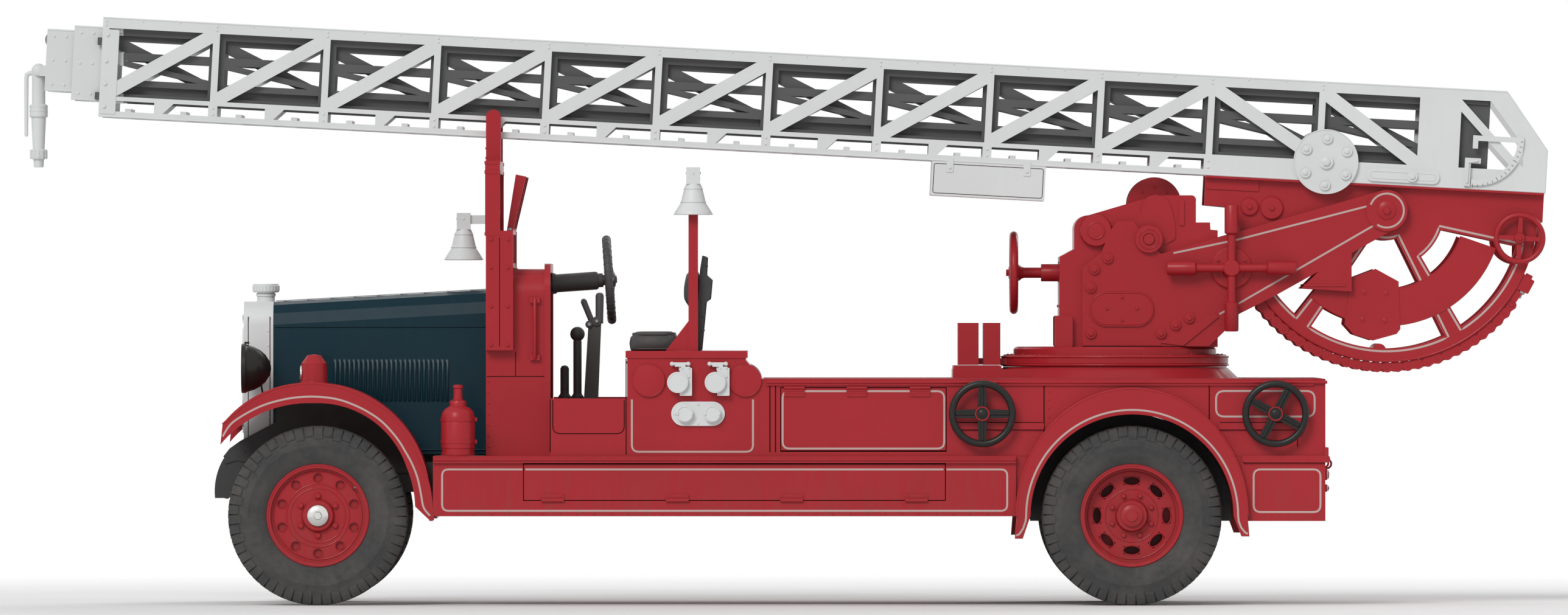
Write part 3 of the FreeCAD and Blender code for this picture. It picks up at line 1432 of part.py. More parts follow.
def ladder_fittings():
    """Bolted discs and adjusting bars on both sides, the box below and the inclinometer on the left."""
    parts = []
    face = v.base_half + v.seat_gap
    for side in (-1, 1):
        studs = [side_rod(side, 31, -361 + polar(133, 60 * k + 30)[0], 260 + polar(133, 60 * k + 30)[1],
                          face + 19, face + 32) for k in range(6)]
        parts.append(fuse(side_rod(side, 185, -361, 260, face, face + 20), *studs,
                          side_rod(side, 41, -361, 260, face + 19, face + 36)))
        bar = [(-89, 240), (-127, 202, -89, 164), (252, 164), (290, 202, 252, 240)]
        parts.append(fuse(side_pad(side, [bar], face, face + 14),
                          side_rod(side, 31, 134, 202, face + 13, face + 30)))
    arc = [(470, 455), (760, 455), polar(305, -45, 460, 455) + (470, 170), (470, 205),
           polar(270, -45, 460, 455) + (725, 425), (500, 425), (500, 380), (470, 380)]
    parts.append(side_pad(-1, [arc], face, face + 16))
    handle = fuse(side_box(-1, 34, 130, 430, 165, face, face + 24),
                  side_box(-1, 90, 30, 430, 295, face, face + 24))
    parts.append(handle)
    crate = box((650, "2 * base_half", 195), (-2603, "-base_half", v.ladder_offset - v.seat_gap - 195))
    parts.append(crate)
    return group(*parts)


node("ladder_fittings", on_ladder(ladder_fittings()))


# ---------------------------------------------------------------- monitor at the ladder's head
def monitor():
    """Water nozzle that hangs upright from the head's pin."""
    tilt = math.radians(v.ladder_tilt)
    x = -(v.ladder_reach + v.middle_stub + v.top_stub) - 50
    z = v.top_bottom + 115
    here = (v.pivot_x + x * math.cos(tilt) + z * math.sin(tilt),
            v.pivot_height - x * math.sin(tilt) + z * math.cos(tilt))
    ball = doc.addObject("Part::Sphere", "ball")
    ball.Radius = 42
    barrel = turned("XZ", "V_Axis", [[(0, 0), (38, -10), (38, -197), (52, -197), (52, -267), (42, -267),
                                      (34, -450), (47, -450), (47, -505), (30, -505), (28, -553),
                                      (0, -553)]])
    pin = rod("y", 20, 120, (0, -60, 0))
    lever = box((20, 40, 372), (-84, -20, -372))
    link = box((84, 30, 30), (-84, -15, -30))
    return move(fuse(ball, barrel, pin, lever, link), here[0], 0, here[1])


node("monitor", monitor())

# ---------------------------------------------------------------- checks and export
doc.recompute()
for obj in doc.Objects:
    if "Invalid" in obj.State or "Error" in obj.State:
        raise RuntimeError("%s (%s) failed: %s" % (obj.Name, obj.Label, obj.State))
os.makedirs("parts", exist_ok=True)
for label, obj in pieces.items():
    shape = obj.Shape
    if shape.isNull() or not shape.isValid() or not shape.Solids:
        raise RuntimeError("%s has no valid solid" % label)
    shape.exportStep("parts/%s.step" % label)
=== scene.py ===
import bmesh
import bpy
import json
import math
from mathutils import Matrix, Vector
from mathutils.bvhtree import BVHTree


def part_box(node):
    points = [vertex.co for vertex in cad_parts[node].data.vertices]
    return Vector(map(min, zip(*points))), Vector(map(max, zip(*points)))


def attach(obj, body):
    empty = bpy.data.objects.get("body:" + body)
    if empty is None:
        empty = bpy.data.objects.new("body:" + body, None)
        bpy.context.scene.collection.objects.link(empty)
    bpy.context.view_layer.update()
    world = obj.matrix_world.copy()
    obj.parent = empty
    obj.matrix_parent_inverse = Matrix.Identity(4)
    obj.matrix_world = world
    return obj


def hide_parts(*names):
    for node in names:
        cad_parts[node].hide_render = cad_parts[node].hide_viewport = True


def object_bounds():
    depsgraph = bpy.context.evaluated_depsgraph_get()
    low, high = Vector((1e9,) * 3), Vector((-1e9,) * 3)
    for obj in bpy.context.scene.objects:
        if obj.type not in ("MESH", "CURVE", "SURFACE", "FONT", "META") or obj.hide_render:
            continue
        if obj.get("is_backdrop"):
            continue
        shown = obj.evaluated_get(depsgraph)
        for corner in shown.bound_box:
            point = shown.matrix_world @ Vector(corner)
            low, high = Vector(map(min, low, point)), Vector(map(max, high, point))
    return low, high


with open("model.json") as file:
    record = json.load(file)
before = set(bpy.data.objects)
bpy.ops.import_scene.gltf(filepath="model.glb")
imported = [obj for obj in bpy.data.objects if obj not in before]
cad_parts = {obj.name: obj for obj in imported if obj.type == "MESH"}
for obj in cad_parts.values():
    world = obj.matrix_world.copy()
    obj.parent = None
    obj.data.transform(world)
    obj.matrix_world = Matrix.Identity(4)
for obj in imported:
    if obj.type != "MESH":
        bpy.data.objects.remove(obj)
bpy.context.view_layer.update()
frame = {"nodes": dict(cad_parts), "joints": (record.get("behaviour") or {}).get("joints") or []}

# Lengths are in millimetres up to Piece.done, which turns them into metres.
JOINTS = {joint["name"]: joint for joint in frame["joints"]}
SIDES = ((-1, "left"), (1, "right"))


def span(node):
    """A CAD node's lowest and highest corners."""
    low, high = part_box(node)
    return low * 1000, high * 1000


def joint_at(name):
    return Vector(JOINTS[name]["pos_m"]) * 1000


def placed(name, data):
    """An object in the scene that holds a mesh, a lamp or a camera."""
    made = bpy.data.objects.new(name, data)
    bpy.context.scene.collection.objects.link(made)
    return made


# ---------------------------------------------------------------- materials
def linear(code, share=1.0):
    """A colour written as six hex digits, as the shader's numbers, made lighter or darker by share."""
    values = [int(code[k:k + 2], 16) / 255 for k in (0, 2, 4)]
    values = [((c + 0.055) / 1.055) ** 2.4 if c > 0.04045 else c / 12.92 for c in values]
    return tuple(max(0.0, min(1.0, c * share)) for c in values) + (1.0,)


class Nodes:
    """A material's node tree, with short ways of adding to it."""

    def __init__(self, name):
        self.material = bpy.data.materials.new(name)
        self.material.use_nodes = True
        self.tree = self.material.node_tree
        self.shader = self.tree.nodes["Principled BSDF"]
        self.place = self.add("ShaderNodeTexCoord").outputs["Object"]

    def feed(self, socket, value):
        if hasattr(value, "is_linked"):
            self.tree.links.new(value, socket)
        else:
            socket.default_value = value

    def add(self, kind, **inputs):
        node = self.tree.nodes.new(kind)
        for key, value in inputs.items():
            self.feed(node.inputs[key.replace("_", " ")], value)
        return node

    def set(self, **inputs):
        for key, value in inputs.items():
            self.feed(self.shader.inputs[key.replace("_", " ")], value)

    def noise(self, scale, detail=3.0, place=None, rough=0.55):
        return self.add("ShaderNodeTexNoise", Vector=place or self.place, Scale=scale, Detail=detail,
                        Roughness=rough).outputs["Fac"]

    def mapped(self, **inputs):
        return self.add("ShaderNodeMapping", Vector=self.place, **inputs).outputs["Vector"]

    def ranged(self, value, low, high, to_low=0.0, to_high=1.0):
        return self.add("ShaderNodeMapRange", Value=value, From_Min=low, From_Max=high, To_Min=to_low,
                        To_Max=to_high).outputs["Result"]

    def mixed(self, share, first, second):
        node = self.add("ShaderNodeMix")
        node.data_type = "RGBA"
        for index, value in ((0, share), (6, first), (7, second)):
            self.feed(node.inputs[index], value)
        return node.outputs[2]

    def sum(self, operation, first, second):
        node = self.add("ShaderNodeMath")
        node.operation = operation
        self.feed(node.inputs[0], first)
        self.feed(node.inputs[1], second)
        return node.outputs[0]

    def bump(self, height, strength, distance):
        self.set(Normal=self.add("ShaderNodeBump", Height=height, Strength=strength,
                                 Distance=distance).outputs["Normal"])


def surface(name, code, rough, metal=0.0, coat=0.0, spread=0.05, depth=0.0002, grime=0.25, gleam=0.5,
            head_x=None):
    """Paint or metal: cloudy colour, uneven gloss, fine grain and road dirt near the ground.

    In front of head_x, in metres, it is painted as the ladder's base; behind it the given colour stays, which
    for the inner sections is painted shade.
    """
    n = Nodes(name)
    cloudy = n.mixed(n.ranged(n.noise(2.3), 0.3, 0.7), linear(code, 1 - spread), linear(code, 1 + spread))
    streaks = n.noise(3.0, 4.0, n.mapped(Scale=(9, 9, 1.2)), 0.5)
    place = n.add("ShaderNodeSeparateXYZ", Vector=n.place).outputs
    low = n.ranged(place["Z"], 0.25, 1.0, grime, 0.02 if grime else 0.0)
    dirt = n.sum("MULTIPLY", n.ranged(streaks, 0.35, 0.75), low)
    colour = n.mixed(dirt, cloudy, linear("5E554B"))
    # painted shade: behind head_x a sliding section keeps its dark grey, which stands for the shade inside
    # the base ladder; in front of it, the base's light grey
    if head_x is not None:
        colour = n.mixed(n.sum("LESS_THAN", place["X"], head_x), colour, linear("D6D8D8"))
    n.set(Base_Color=colour, Roughness=n.ranged(n.noise(14.0, 5.0), 0.3, 0.7, rough * 0.85,
                                                min(1.0, rough * 1.2)), Metallic=metal, Coat_Weight=coat,
          Coat_Roughness=0.06, Specular_IOR_Level=gleam)
    if depth:
        n.bump(n.noise(240.0, 2.0), 0.35, depth)
    return n.material


def rubber():
    n = Nodes("tyre_rubber")
    dust = n.ranged(n.noise(5.0, 6.0), 0.4, 0.75, 0, 0.35)
    n.set(Base_Color=n.mixed(dust, linear("393939"), linear("6A655E")),
          Roughness=n.ranged(n.noise(30.0), 0.3, 0.7, 0.72, 0.92))
    n.bump(n.noise(420.0, 4.0), 0.5, 0.0006)
    return n.material


def leather():
    n = Nodes("seat_leather")
    cells = n.add("ShaderNodeTexVoronoi", Vector=n.place, Scale=260.0)
    cells.feature = "DISTANCE_TO_EDGE"
    folds = n.ranged(n.noise(9.0, 5.0), 0.35, 0.7)
    n.set(Base_Color=n.mixed(folds, linear("2D2D2D"), linear("403F3E")),
          Roughness=n.ranged(n.noise(22.0, 4.0), 0.3, 0.7, 0.42, 0.62), Sheen_Weight=0.1)
    n.bump(n.ranged(cells.outputs["Distance"], 0.0, 0.12), 0.5, 0.0009)
    return n.material


def clear_glass(name, tint, rough):
    n = Nodes(name)
    n.set(Base_Color=n.mixed(n.ranged(n.noise(3.0), 0.3, 0.7), linear(tint), linear(tint, 0.94)),
          Roughness=rough, IOR=1.45, Transmission_Weight=1.0)
    return n.material


def tread_plate():
    """Red painted chequer plate: small raised bars that lean either way by turns."""
    n = Nodes("tread_plate")
    bars = [n.ranged(n.add("ShaderNodeTexWave", Vector=n.mapped(Rotation=(0, 0, turn)),
                           Scale=9.0).outputs["Fac"], 0.78, 0.9) for turn in (0.785, -0.785)]
    worn = n.ranged(n.noise(6.0, 6.0), 0.45, 0.7, 0, 0.5)
    n.set(Base_Color=n.mixed(worn, linear("97252C"), linear("5A3A36")),
          Roughness=n.ranged(n.noise(20.0), 0.3, 0.7, 0.4, 0.65))
    n.bump(n.sum("MULTIPLY", *bars), 0.9, 0.002)
    return n.material


# painted shade: this dark grey stands for the shade the inner ladder sections lie in; the real sections are
# light grey like the base
INNER_PAINTED_SHADE = dict(code="555555", rough=0.5, grime=0.0, gleam=0.3)
M = {
    "red": surface("red_paint", "A6262E", 0.34, coat=0.08, spread=0.04, depth=0.0001, gleam=0.18),
    "silver": surface("ladder_paint", "DADCDC", 0.42, spread=0.03, depth=0.0001, grime=0.1, gleam=0.3),
    "inner": surface("inner_ladder_painted_shade", **INNER_PAINTED_SHADE),
    "middle": surface("middle_section_painted_shade", head_x=(span("ladder_middle")[0].x + 300) / 1000, **INNER_PAINTED_SHADE),
    "top": surface("top_section_painted_shade", head_x=(span("ladder_top")[0].x + 420) / 1000, **INNER_PAINTED_SHADE),
    "dark": surface("chassis_paint", "3F3F3F", 0.5, spread=0.08, gleam=0.25),
    # painted light: lighter than the chassis paint's 3F3F3F, to make up for the shade the cab casts on the
    # column, steering wheel and levers
    "controls": surface("control_paint_with_painted_light", "585858", 0.5, spread=0.08, grime=0.0, gleam=0.25),
    "teal": surface("bonnet_paint", "0F2E39", 0.3, coat=0.05, depth=0.0, grime=0.1, gleam=0.12),
    "black": surface("black_enamel", "232221", 0.32, coat=0.08, spread=0.08, grime=0.05, gleam=0.2),
    "chrome": surface("bright_metal", "D9D9D6", 0.2, metal=0.9, spread=0.03, depth=0.0, grime=0.0),
    "steel": surface("bare_steel", "8F9190", 0.38, metal=0.85, spread=0.08, grime=0.05),
    "lining": surface("lining_paint", "BFA7A2", 0.45, spread=0.03, depth=0.0, grime=0.08, gleam=0.3),
    # painted shade: the dark strip laid along panel gaps and grooves stands for the shade inside them
    "groove": surface("panel_gap_painted_shade", "32100F", 0.8, depth=0.0, grime=0.0, gleam=0.1),
    "tail": surface("lamp_red_lens", "7A1018", 0.12, coat=0.6, depth=0.0, grime=0.0),
    "rubber": rubber(),
    "leather": leather(),
    "glass": clear_glass("window_glass", "E4ECEA", 0.02),
    "lens": clear_glass("lamp_glass", "D8DCDC", 0.08),
    "plate": tread_plate(),
}


# ---------------------------------------------------------------- shapes, each as its points and faces
def quads(rows, width, closed=False):
    """Faces between rows of as many points, round each row; an open run has its two ends filled."""
    faces = []
    for k in range(rows if closed else rows - 1):
        a, b = k * width, (k + 1) % rows * width
        faces += [[a + j, a + (j + 1) % width, b + (j + 1) % width, b + j] for j in range(width)]
    if not closed:
        faces += [list(range(width)), list(range((rows - 1) * width, rows * width))]
    return faces


def lathe(profile, steps=48, closed=False):
    """Turns (radius, height) points about Z. A closed profile joins its last point to its first."""
    verts, faces, rows = [], [], []
    for radius, height in profile:
        count = 1 if radius < 1e-6 else steps
        rows.append([len(verts) + k for k in range(count)])
        verts += [(radius * math.cos(math.tau * k / steps), radius * math.sin(math.tau * k / steps), height)
                  for k in range(count)]
    for a, b in list(zip(rows, rows[1:])) + ([(rows[-1], rows[0])] if closed else []):
        for k in range(steps if max(len(a), len(b)) > 1 else 0):
            quad = [a[k % len(a)], a[(k + 1) % len(a)], b[(k + 1) % len(b)], b[k % len(b)]]
            faces.append(list(dict.fromkeys(quad)))
    return verts, faces


def collar(inner, outer, low, high, steps, inset=0.0):
    """A closed ring with a square section; inset slopes its outer corners."""
    return lathe([(inner, low), (outer, low + inset), (outer, high - inset), (inner, high)], steps,
                 closed=True)


def round_ring(radius, thick, steps=64, sides=14):
    return lathe([(radius + thick * math.cos(math.tau * k / sides), thick * math.sin(math.tau * k / sides))
                  for k in range(sides)], steps, closed=True)


def slab(outline, low, high):
    """A flat outline of (x, y), thick from low to high."""
    return [(x, y, z) for z in (low, high) for x, y in outline], quads(2, len(outline))


def block(low, high):
    return slab([(low[0], low[1]), (high[0], low[1]), (high[0], high[1]), (low[0], high[1])], low[2], high[2])


def neighbours(points, k, closed):
    """The points before and after one, or itself where an open run ends."""
    last = len(points) - 1
    return points[k - 1 if closed or k else k], points[(k + 1) % (last + 1) if closed or k < last else k]


def tube(points, radius, sides=12, closed=False):
    """A round bar along points; radius is one number or one for each point."""
    path = [Vector(point) for point in points]
    radii = radius if isinstance(radius, (list, tuple)) else [radius] * len(path)
    verts, normal = [], None
    for k, here in enumerate(path):
        before, after = neighbours(path, k, closed)
        along = (after - before).normalized()
        normal = along.orthogonal() if normal is None else normal - along * normal.dot(along)
        normal.normalize()
        across = along.cross(normal)
        verts += [tuple(here + (normal * math.cos(math.tau * j / sides)
                                + across * math.sin(math.tau * j / sides)) * radii[k]) for j in range(sides)]
    return verts, quads(len(path), sides, closed)


def ribbon(points, width, low, high, closed=False):
    """A flat strip of even width along (x, y) points, thick from low to high."""
    verts = []
    for k, (x, y) in enumerate(points):
        before, after = neighbours(points, k, closed)
        dx, dy = after[0] - before[0], after[1] - before[1]
        size = math.hypot(dx, dy) or 1.0
        nx, ny = -dy / size * width / 2, dx / size * width / 2
        verts += [(x + nx, y + ny, low), (x - nx, y - ny, low), (x - nx, y - ny, high),
                  (x + nx, y + ny, high)]
    return verts, quads(len(points), 4, closed)


def nut(radius, height):
    return lathe([(0, 0), (radius, 0), (radius, height * 0.8), (radius * 0.82, height), (0, height)], 6)


def rivet(radius):
    return lathe([(radius * out, radius * up) for out, up in ((1, 0), (0.92, 0.32), (0.55, 0.58), (0, 0.66))],
                 10)


def rounded(corners, radius, closed=True):
    """The corners of an outline, each drawn as a small arc of five steps."""
    out = []
    for k, corner in enumerate(corners):
        if not closed and k in (0, len(corners) - 1):
            out.append(tuple(corner))
            continue
        here = Vector(corner)
        before, after = [Vector(point) - here for point in neighbours(corners, k, True)]
        reach = min(radius, before.length / 2.01, after.length / 2.01)
        start, end = here + before.normalized() * reach, here + after.normalized() * reach
        for t in (0, 0.2, 0.4, 0.6, 0.8, 1):
            out.append(tuple(start * (1 - t) ** 2 + here * 2 * t * (1 - t) + end * t ** 2))
    return out


def frame_outline(x0, z0, x1, z1, radius):
    return rounded([(x0, z0), (x1, z0), (x1, z1), (x0, z1)], radius)


def plate(x0, z0, x1, z1, radius, low, high):
    """A flat plate with rounded corners."""
    return slab(frame_outline(x0, z0, x1, z1, radius), low, high)


def arc(radius, start, end, x=0.0, z=0.0, steps=40):
    turns = [math.radians(start + (end - start) * k / steps) for k in range(steps + 1)]
    return [(x + radius * math.cos(turn), z + radius * math.sin(turn)) for turn in turns]


# ---------------------------------------------------------------- where shapes go
def at(x=0.0, y=0.0, z=0.0):
    return Matrix.Translation((x, y, z))


def spin(share):
    """A turn about Z, as a share of a whole one."""
    return Matrix.Rotation(math.tau * share, 4, "Z")


def on_side(side, y=0.0, x=0.0, z=0.0):
    """Takes (x, z, outwards) on one side of the vehicle to the row frame."""
    return Matrix(((1, 0, 0, x), (0, 0, side, side * y), (0, 1, 0, z), (0, 0, 0, 1)))


def facing(direction, spot=(0, 0, 0)):
    """Takes a shape's own Z to a direction, at a point."""
    return at(*spot) @ Vector(direction).to_track_quat("Z", "Y").to_matrix().to_4x4()


slide_axis = JOINTS["middle_extension"]["axis"]
LADDER = at(*joint_at("elevation")) @ Matrix.Rotation(math.atan2(slide_axis[2], -slide_axis[0]), 4, "Y")
FINISH_OF_SLOT = {"red_paint": "red", "dark_metal": "dark", "blue_bonnet": "teal", "tyre": "rubber"}
LINING = 11.0


def listed(value):
    return value if isinstance(value, list) else [value]


class Piece:
    """Shapes gathered into one object that rides on a body."""

    def __init__(self, name, body="chassis", slot="red_paint", finish=None):
        self.name, self.body, self.slot = name, body, slot
        self.finish = finish or FINISH_OF_SLOT.get(slot, slot)
        self.verts, self.faces, self.kinds, self.materials = [], [], [], []

    def put(self, places, *shapes, finish=None):
        """Adds every shape at every place, in the slot's own finish or another."""
        finish = finish or self.finish
        if finish not in self.materials:
            self.materials.append(finish)
        for place in listed(places):
            for verts, faces in shapes:
                start = len(self.verts)
                self.verts += [place @ Vector(p) if place else Vector(p) for p in verts]
                self.faces += [[start + k for k in face] for face in faces]
                self.kinds += [self.materials.index(finish)] * len(faces)

    def spots(self, place, spots, *shapes, finish=None):
        """Adds every shape at several spots of a place."""
        self.put([place @ at(*spot) for spot in spots], *shapes, finish=finish)

    def around(self, place, count, *shapes, spot=(0, 0, 0), shift=0.0, finish=None):
        """Adds every shape at even steps round a place's own Z."""
        self.put([place @ spin((k + shift) / count) @ at(*spot) for k in range(count)], *shapes,
                 finish=finish)

    def line(self, place, outline, closed=True, width=LINING):
        """A painted line, as a thin strip that stands just proud of its panel."""
        self.put(place, ribbon(outline, width, -0.6, 0.9, closed), finish="lining")

    # A dark strip just proud of its panel, painted shade standing for the shadow in a gap or groove.
    def seam(self, place, outline, width=5.0, closed=False):
        self.put(place, ribbon(outline, width, -0.6, 0.5, closed), finish="groove")

    def done(self, *replaced, bevel=0.0, sharp=35.0):
        mesh = bpy.data.meshes.new(self.name)
        mesh.from_pydata([p / 1000 for p in self.verts], [], self.faces)
        for material in self.materials:
            mesh.materials.append(M[material])
        mesh.polygons.foreach_set("material_index", self.kinds)
        outwards(mesh)
        mesh.shade_smooth()
        mesh.set_sharp_from_angle(angle=math.radians(sharp))
        piece = placed(self.name, mesh)
        if bevel:
            edge = piece.modifiers.new("edges", "BEVEL")
            edge.width = bevel / 1000
            edge.segments = 2
            edge.limit_method = "ANGLE"
            edge.angle_limit = math.radians(40)
            edge.harden_normals = True
        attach(piece, self.body)
        if replaced:
            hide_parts(*replaced)


def outwards(mesh):
    """Turns every face of a mesh outwards."""
    work = bmesh.new()
    work.from_mesh(mesh)
    bmesh.ops.recalc_face_normals(work, faces=work.faces)
    work.to_mesh(mesh)
    work.free()


# ---------------------------------------------------------------- the CAD nodes' finishes
FINISH = {
    "silver": ("radiator", "bells", "pump_fittings", "ladder_base", "ladder_fittings", "monitor"),
    "dark": ("chassis_frame", "leaf_springs", "front_axle", "rear_axle", "splash_plates", "board_brackets",
             "knuckle_left", "knuckle_right", "track_rod", "engine_block"),
    "controls": ("steering_column", "hand_levers", "steering_wheel"),
    "black": ("headlamps", "jack_handwheels"),
    "teal": ("bonnet",),
    "glass": ("windscreen_glass",),
    "leather": ("seat_pads",),
    "rubber": ("front_left_tyre", "front_right_tyre", "rear_left_tyres", "rear_right_tyres"),
    # painted shade: the sliding sections are dark grey for the shade inside the base ladder, light grey at
    # their heads
    "middle": ("ladder_middle",),
    "top": ("ladder_top",),
}
FINISH_OF = {node: finish for finish, nodes in FINISH.items() for node in nodes}
for label, obj in frame["nodes"].items():
    obj.data.materials.clear()
    obj.data.materials.append(M[FINISH_OF.get(label, "red")])


# ---------------------------------------------------------------- stage, light and camera
def stage():
    n = Nodes("floor")
    radius = n.add("ShaderNodeVectorMath", Vector=n.place)
    radius.operation = "LENGTH"
    n.set(Base_Color=n.mixed(n.ranged(n.noise(0.6), 0.3, 0.7), (0.86, 0.86, 0.86, 1), (0.9, 0.9, 0.9, 1)),
          Roughness=0.9, Alpha=n.ranged(radius.outputs["Value"], 6.0, 13.0, 1, 0))
    mesh = bpy.data.meshes.new("floor")
    verts, faces = lathe([(0, 0), (14, 0)], 96)
    mesh.from_pydata(verts, [], faces)
    mesh.materials.append(n.material)
    placed("floor", mesh)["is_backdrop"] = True
    # the world lights the object softly and shows white to the camera, in gloss and through glass
    world = bpy.data.worlds.new("studio")
    bpy.context.scene.world = world
    world.use_nodes = True
    nodes, links = world.node_tree.nodes, world.node_tree.links
    soft, white = nodes["Background"], nodes.new("ShaderNodeBackground")
    for light, strength in ((soft, 0.5), (white, 1.0)):
        light.inputs["Color"].default_value = (1, 1, 1, 1)
        light.inputs["Strength"].default_value = strength
    path = nodes.new("ShaderNodeLightPath")
    seen = path.outputs["Is Camera Ray"]
    for ray in ("Is Glossy Ray", "Is Transmission Ray"):
        most = nodes.new("ShaderNodeMath")
        most.operation = "MAXIMUM"
        links.new(seen, most.inputs[0])
        links.new(path.outputs[ray], most.inputs[1])
        seen = most.outputs[0]
    mix = nodes.new("ShaderNodeMixShader")
    for source, socket in ((seen, 0), (soft.outputs[0], 1), (white.outputs[0], 2)):
        links.new(source, mix.inputs[socket])
    links.new(mix.outputs[0], nodes["World Output"].inputs["Surface"])
    for name, power, direction in (("key", 1.5, (0.45, 1.0, -0.75)), ("fill", 0.7, (-0.7, -1.0, -0.6))):
        lamp = bpy.data.lights.new(name, "SUN")
        lamp.energy = power
        lamp.angle = math.radians(25)
        placed(name, lamp).rotation_euler = Vector(direction).to_track_quat("-Z", "Y").to_euler()


def camera():
    """Level and square to the left side, through a long lens."""
    margin, eye_height, forward = 1.0212, 1.692, 0.004      # a share of the object's length, and metres
    low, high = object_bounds()
    lens = bpy.data.cameras.new("camera")
    lens.lens = 500
    lens.sensor_width = 36
    lens.clip_end = 1000
    picture_width = (high.x - low.x) * margin
    eye = placed("camera", lens)
    eye.location = ((low.x + high.x) / 2 - forward, low.y - picture_width / lens.sensor_width * lens.lens,
                    eye_height)
    eye.rotation_euler = (math.radians(90), 0, 0)
    bpy.context.scene.camera = eye
    bpy.context.scene.view_settings.view_transform = "Standard"


stage()
camera()


# ---------------------------------------------------------------- wheels and tyres
TYRE_RADIUS, TYRE_HALF, BEAD = 510, 109, 286
TWIN_STEP = 260      # from a rear wheel's outer tyre to its inner one


def on_tyre(radius, angle, share):
    return radius * math.cos(angle), radius * math.sin(angle), share * TYRE_HALF


def tyre(piece, place):
    """A carcass, blocks round its crown and shoulder lugs that reach down the side walls."""
    half = [(BEAD + rise, TYRE_HALF * share) for rise, share in ((0, 0.7), (12, 0.78), (30, 0.9), (70, 1),
                                                                 (104, 1), (108, 1.02), (116, 1.02), (120, 1),
                                                                 (150, 0.97), (178, 0.93), (194, 0.88),
                                                                 (208, 0.79), (213, 0.7))]
    piece.put(place, lathe(half + [(radius, -height) for radius, height in reversed(half)], 96, closed=True))
    pitch = math.tau / 54
    for k in range(54):
        for low, high, shift in ((-0.7, -0.4, 0), (-0.34, -0.04, 0.5), (0.04, 0.34, 0), (0.4, 0.7, 0.5)):
            a, b = pitch * (k + shift), pitch * (k + shift + 0.74)
            piece.put(place, ([on_tyre(radius, angle, share) for radius in (TYRE_RADIUS - 12, TYRE_RADIUS)
                               for angle, share in ((a, low), (b, low), (b, high), (a, high))], quads(2, 4)))
        a, b = pitch * k, pitch * (k + 0.84)
        lug = ((1, 0.7), (7, 0.84), (24, 0.94), (44, 0.985), (72 if k % 2 else 56, 1.01))
        for way in (-1, 1):
            piece.put(place, ([on_tyre(TYRE_RADIUS - drop - 12 * inner, angle, way * (share - 0.1 * inner))
                               for drop, share in lug for angle, inner in ((a, 0), (b, 0), (b, 1), (a, 1))],
                              quads(5, 4)))


def lip(long_half, short_half, thick):
    """A rolled lip round a hole in the wheel's disc."""
    return tube([(short_half * math.cos(math.tau * k / 20), long_half * math.sin(math.tau * k / 20), 0)
                 for k in range(20)], thick, 6, closed=True)


def wheels():
    for side, name in SIDES:
        for end, plural, offsets in (("front", "", (0,)), ("rear", "s", (0, -TWIN_STEP))):
            hub = joint_at("%s_%s_roll" % (end, name))
            middle = on_side(side, abs(hub.y), hub.x, hub.z)
            body = "%s_%s_wheel%s" % (end, name, plural)
            cover = Piece("tyre%s_%s_%s" % (plural, end, name), body, "tyre")
            for offset in offsets:
                tyre(cover, middle @ at(0, 0, offset))
            cover.done("%s_%s_tyre%s" % (end, name, plural))
            face = Piece("wheel_trim_%s_%s" % (end, name), body, "red_paint")
            face.put(middle @ at(0, 0, 82), round_ring(BEAD, 7, 96, 10))
            if end == "front":
                front_wheel(face, middle)
            else:
                rear_wheel(face, middle)
            face.done()


def front_wheel(face, middle):
    disc = middle @ at(0, 0, 52)
    face.put(disc, *[round_ring(radius, 4, 72, 8) for radius in (250, 179, 155)])
    face.around(disc, 10, lip(28, 28, 3), spot=(214, 0, 0), shift=0.5)
    face.around(disc, 6, lathe([(22, 0), (22, 3), (0, 3)], 20), nut(17, 19), spot=(113, 0, 0), shift=0.5)
    # the brake drum behind the holes
    face.put(middle, lathe([(98, -60), (232, -60), (242, -50), (242, 28), (236, 34), (98, 34)], 72,
                           closed=True))
    face.put(middle @ at(0, 0, 92), lathe([(60, 0), (60, 8), (54, 14), (34, 19), (0, 21)], 36),
             finish="chrome")
    face.put(middle @ at(0, 0, 108), nut(26, 20), finish="chrome")
    face.put(disc, tube([(198, 150, -30), (200, 152, 10), (210, 160, 34)], 5, 8), finish="steel")


def rear_wheel(face, middle):
    disc = middle @ at(0, 0, -8)
    face.put(disc, *[round_ring(radius, 4, 72, 8) for radius in (248, 150)])
    face.around(disc, 8, lip(49, 26, 3.5), spot=(197, 0, 0))
    face.around(disc, 8, nut(15, 17), spot=(120, 0, 0), shift=0.5)
    face.put(middle @ at(0, 0, 60), lathe([(62, 0), (62, 10), (52, 16), (0, 18)], 36))
    face.put(middle @ at(0, 0, 77), lathe([(35, 0), (33, 7), (0, 9)], 30))


wheels()


# ---------------------------------------------------------------- places that many pieces share
hub_front, hub_rear = joint_at("front_left_roll"), joint_at("rear_left_roll")
slew, pivot = joint_at("slew"), joint_at("elevation")
scuttle_low, scuttle_high = span("scuttle")
seat_low, seat_high = span("seat_box")
body_high = span("rear_body")[1]
board_low, board_high = span("running_boards")
bonnet_low, bonnet_high = span("bonnet")
radiator_low, radiator_high = span("radiator")
BODY_SIDE, SKIRT_SIDE = 1040.0, 1060.0
GUARD_SIDE = span("rear_wings")[1].y
DECK = 1287          # the rear body's top
LADDER_SIDE = 420    # half the ladder's width
GEAR_HEIGHT = 1089   # the jacks' handwheels and the capped inlets
OUTLET_FACE = BODY_SIDE + 14.3


# ---------------------------------------------------------------- bonnet and radiator
def bonnet_half(x):
    """Half the bonnet's width, which grows from the radiator to the scuttle."""
    share = (x - bonnet_low.x) / (bonnet_high.x - bonnet_low.x)
    return radiator_high.y + share * (bonnet_high.y - radiator_high.y)


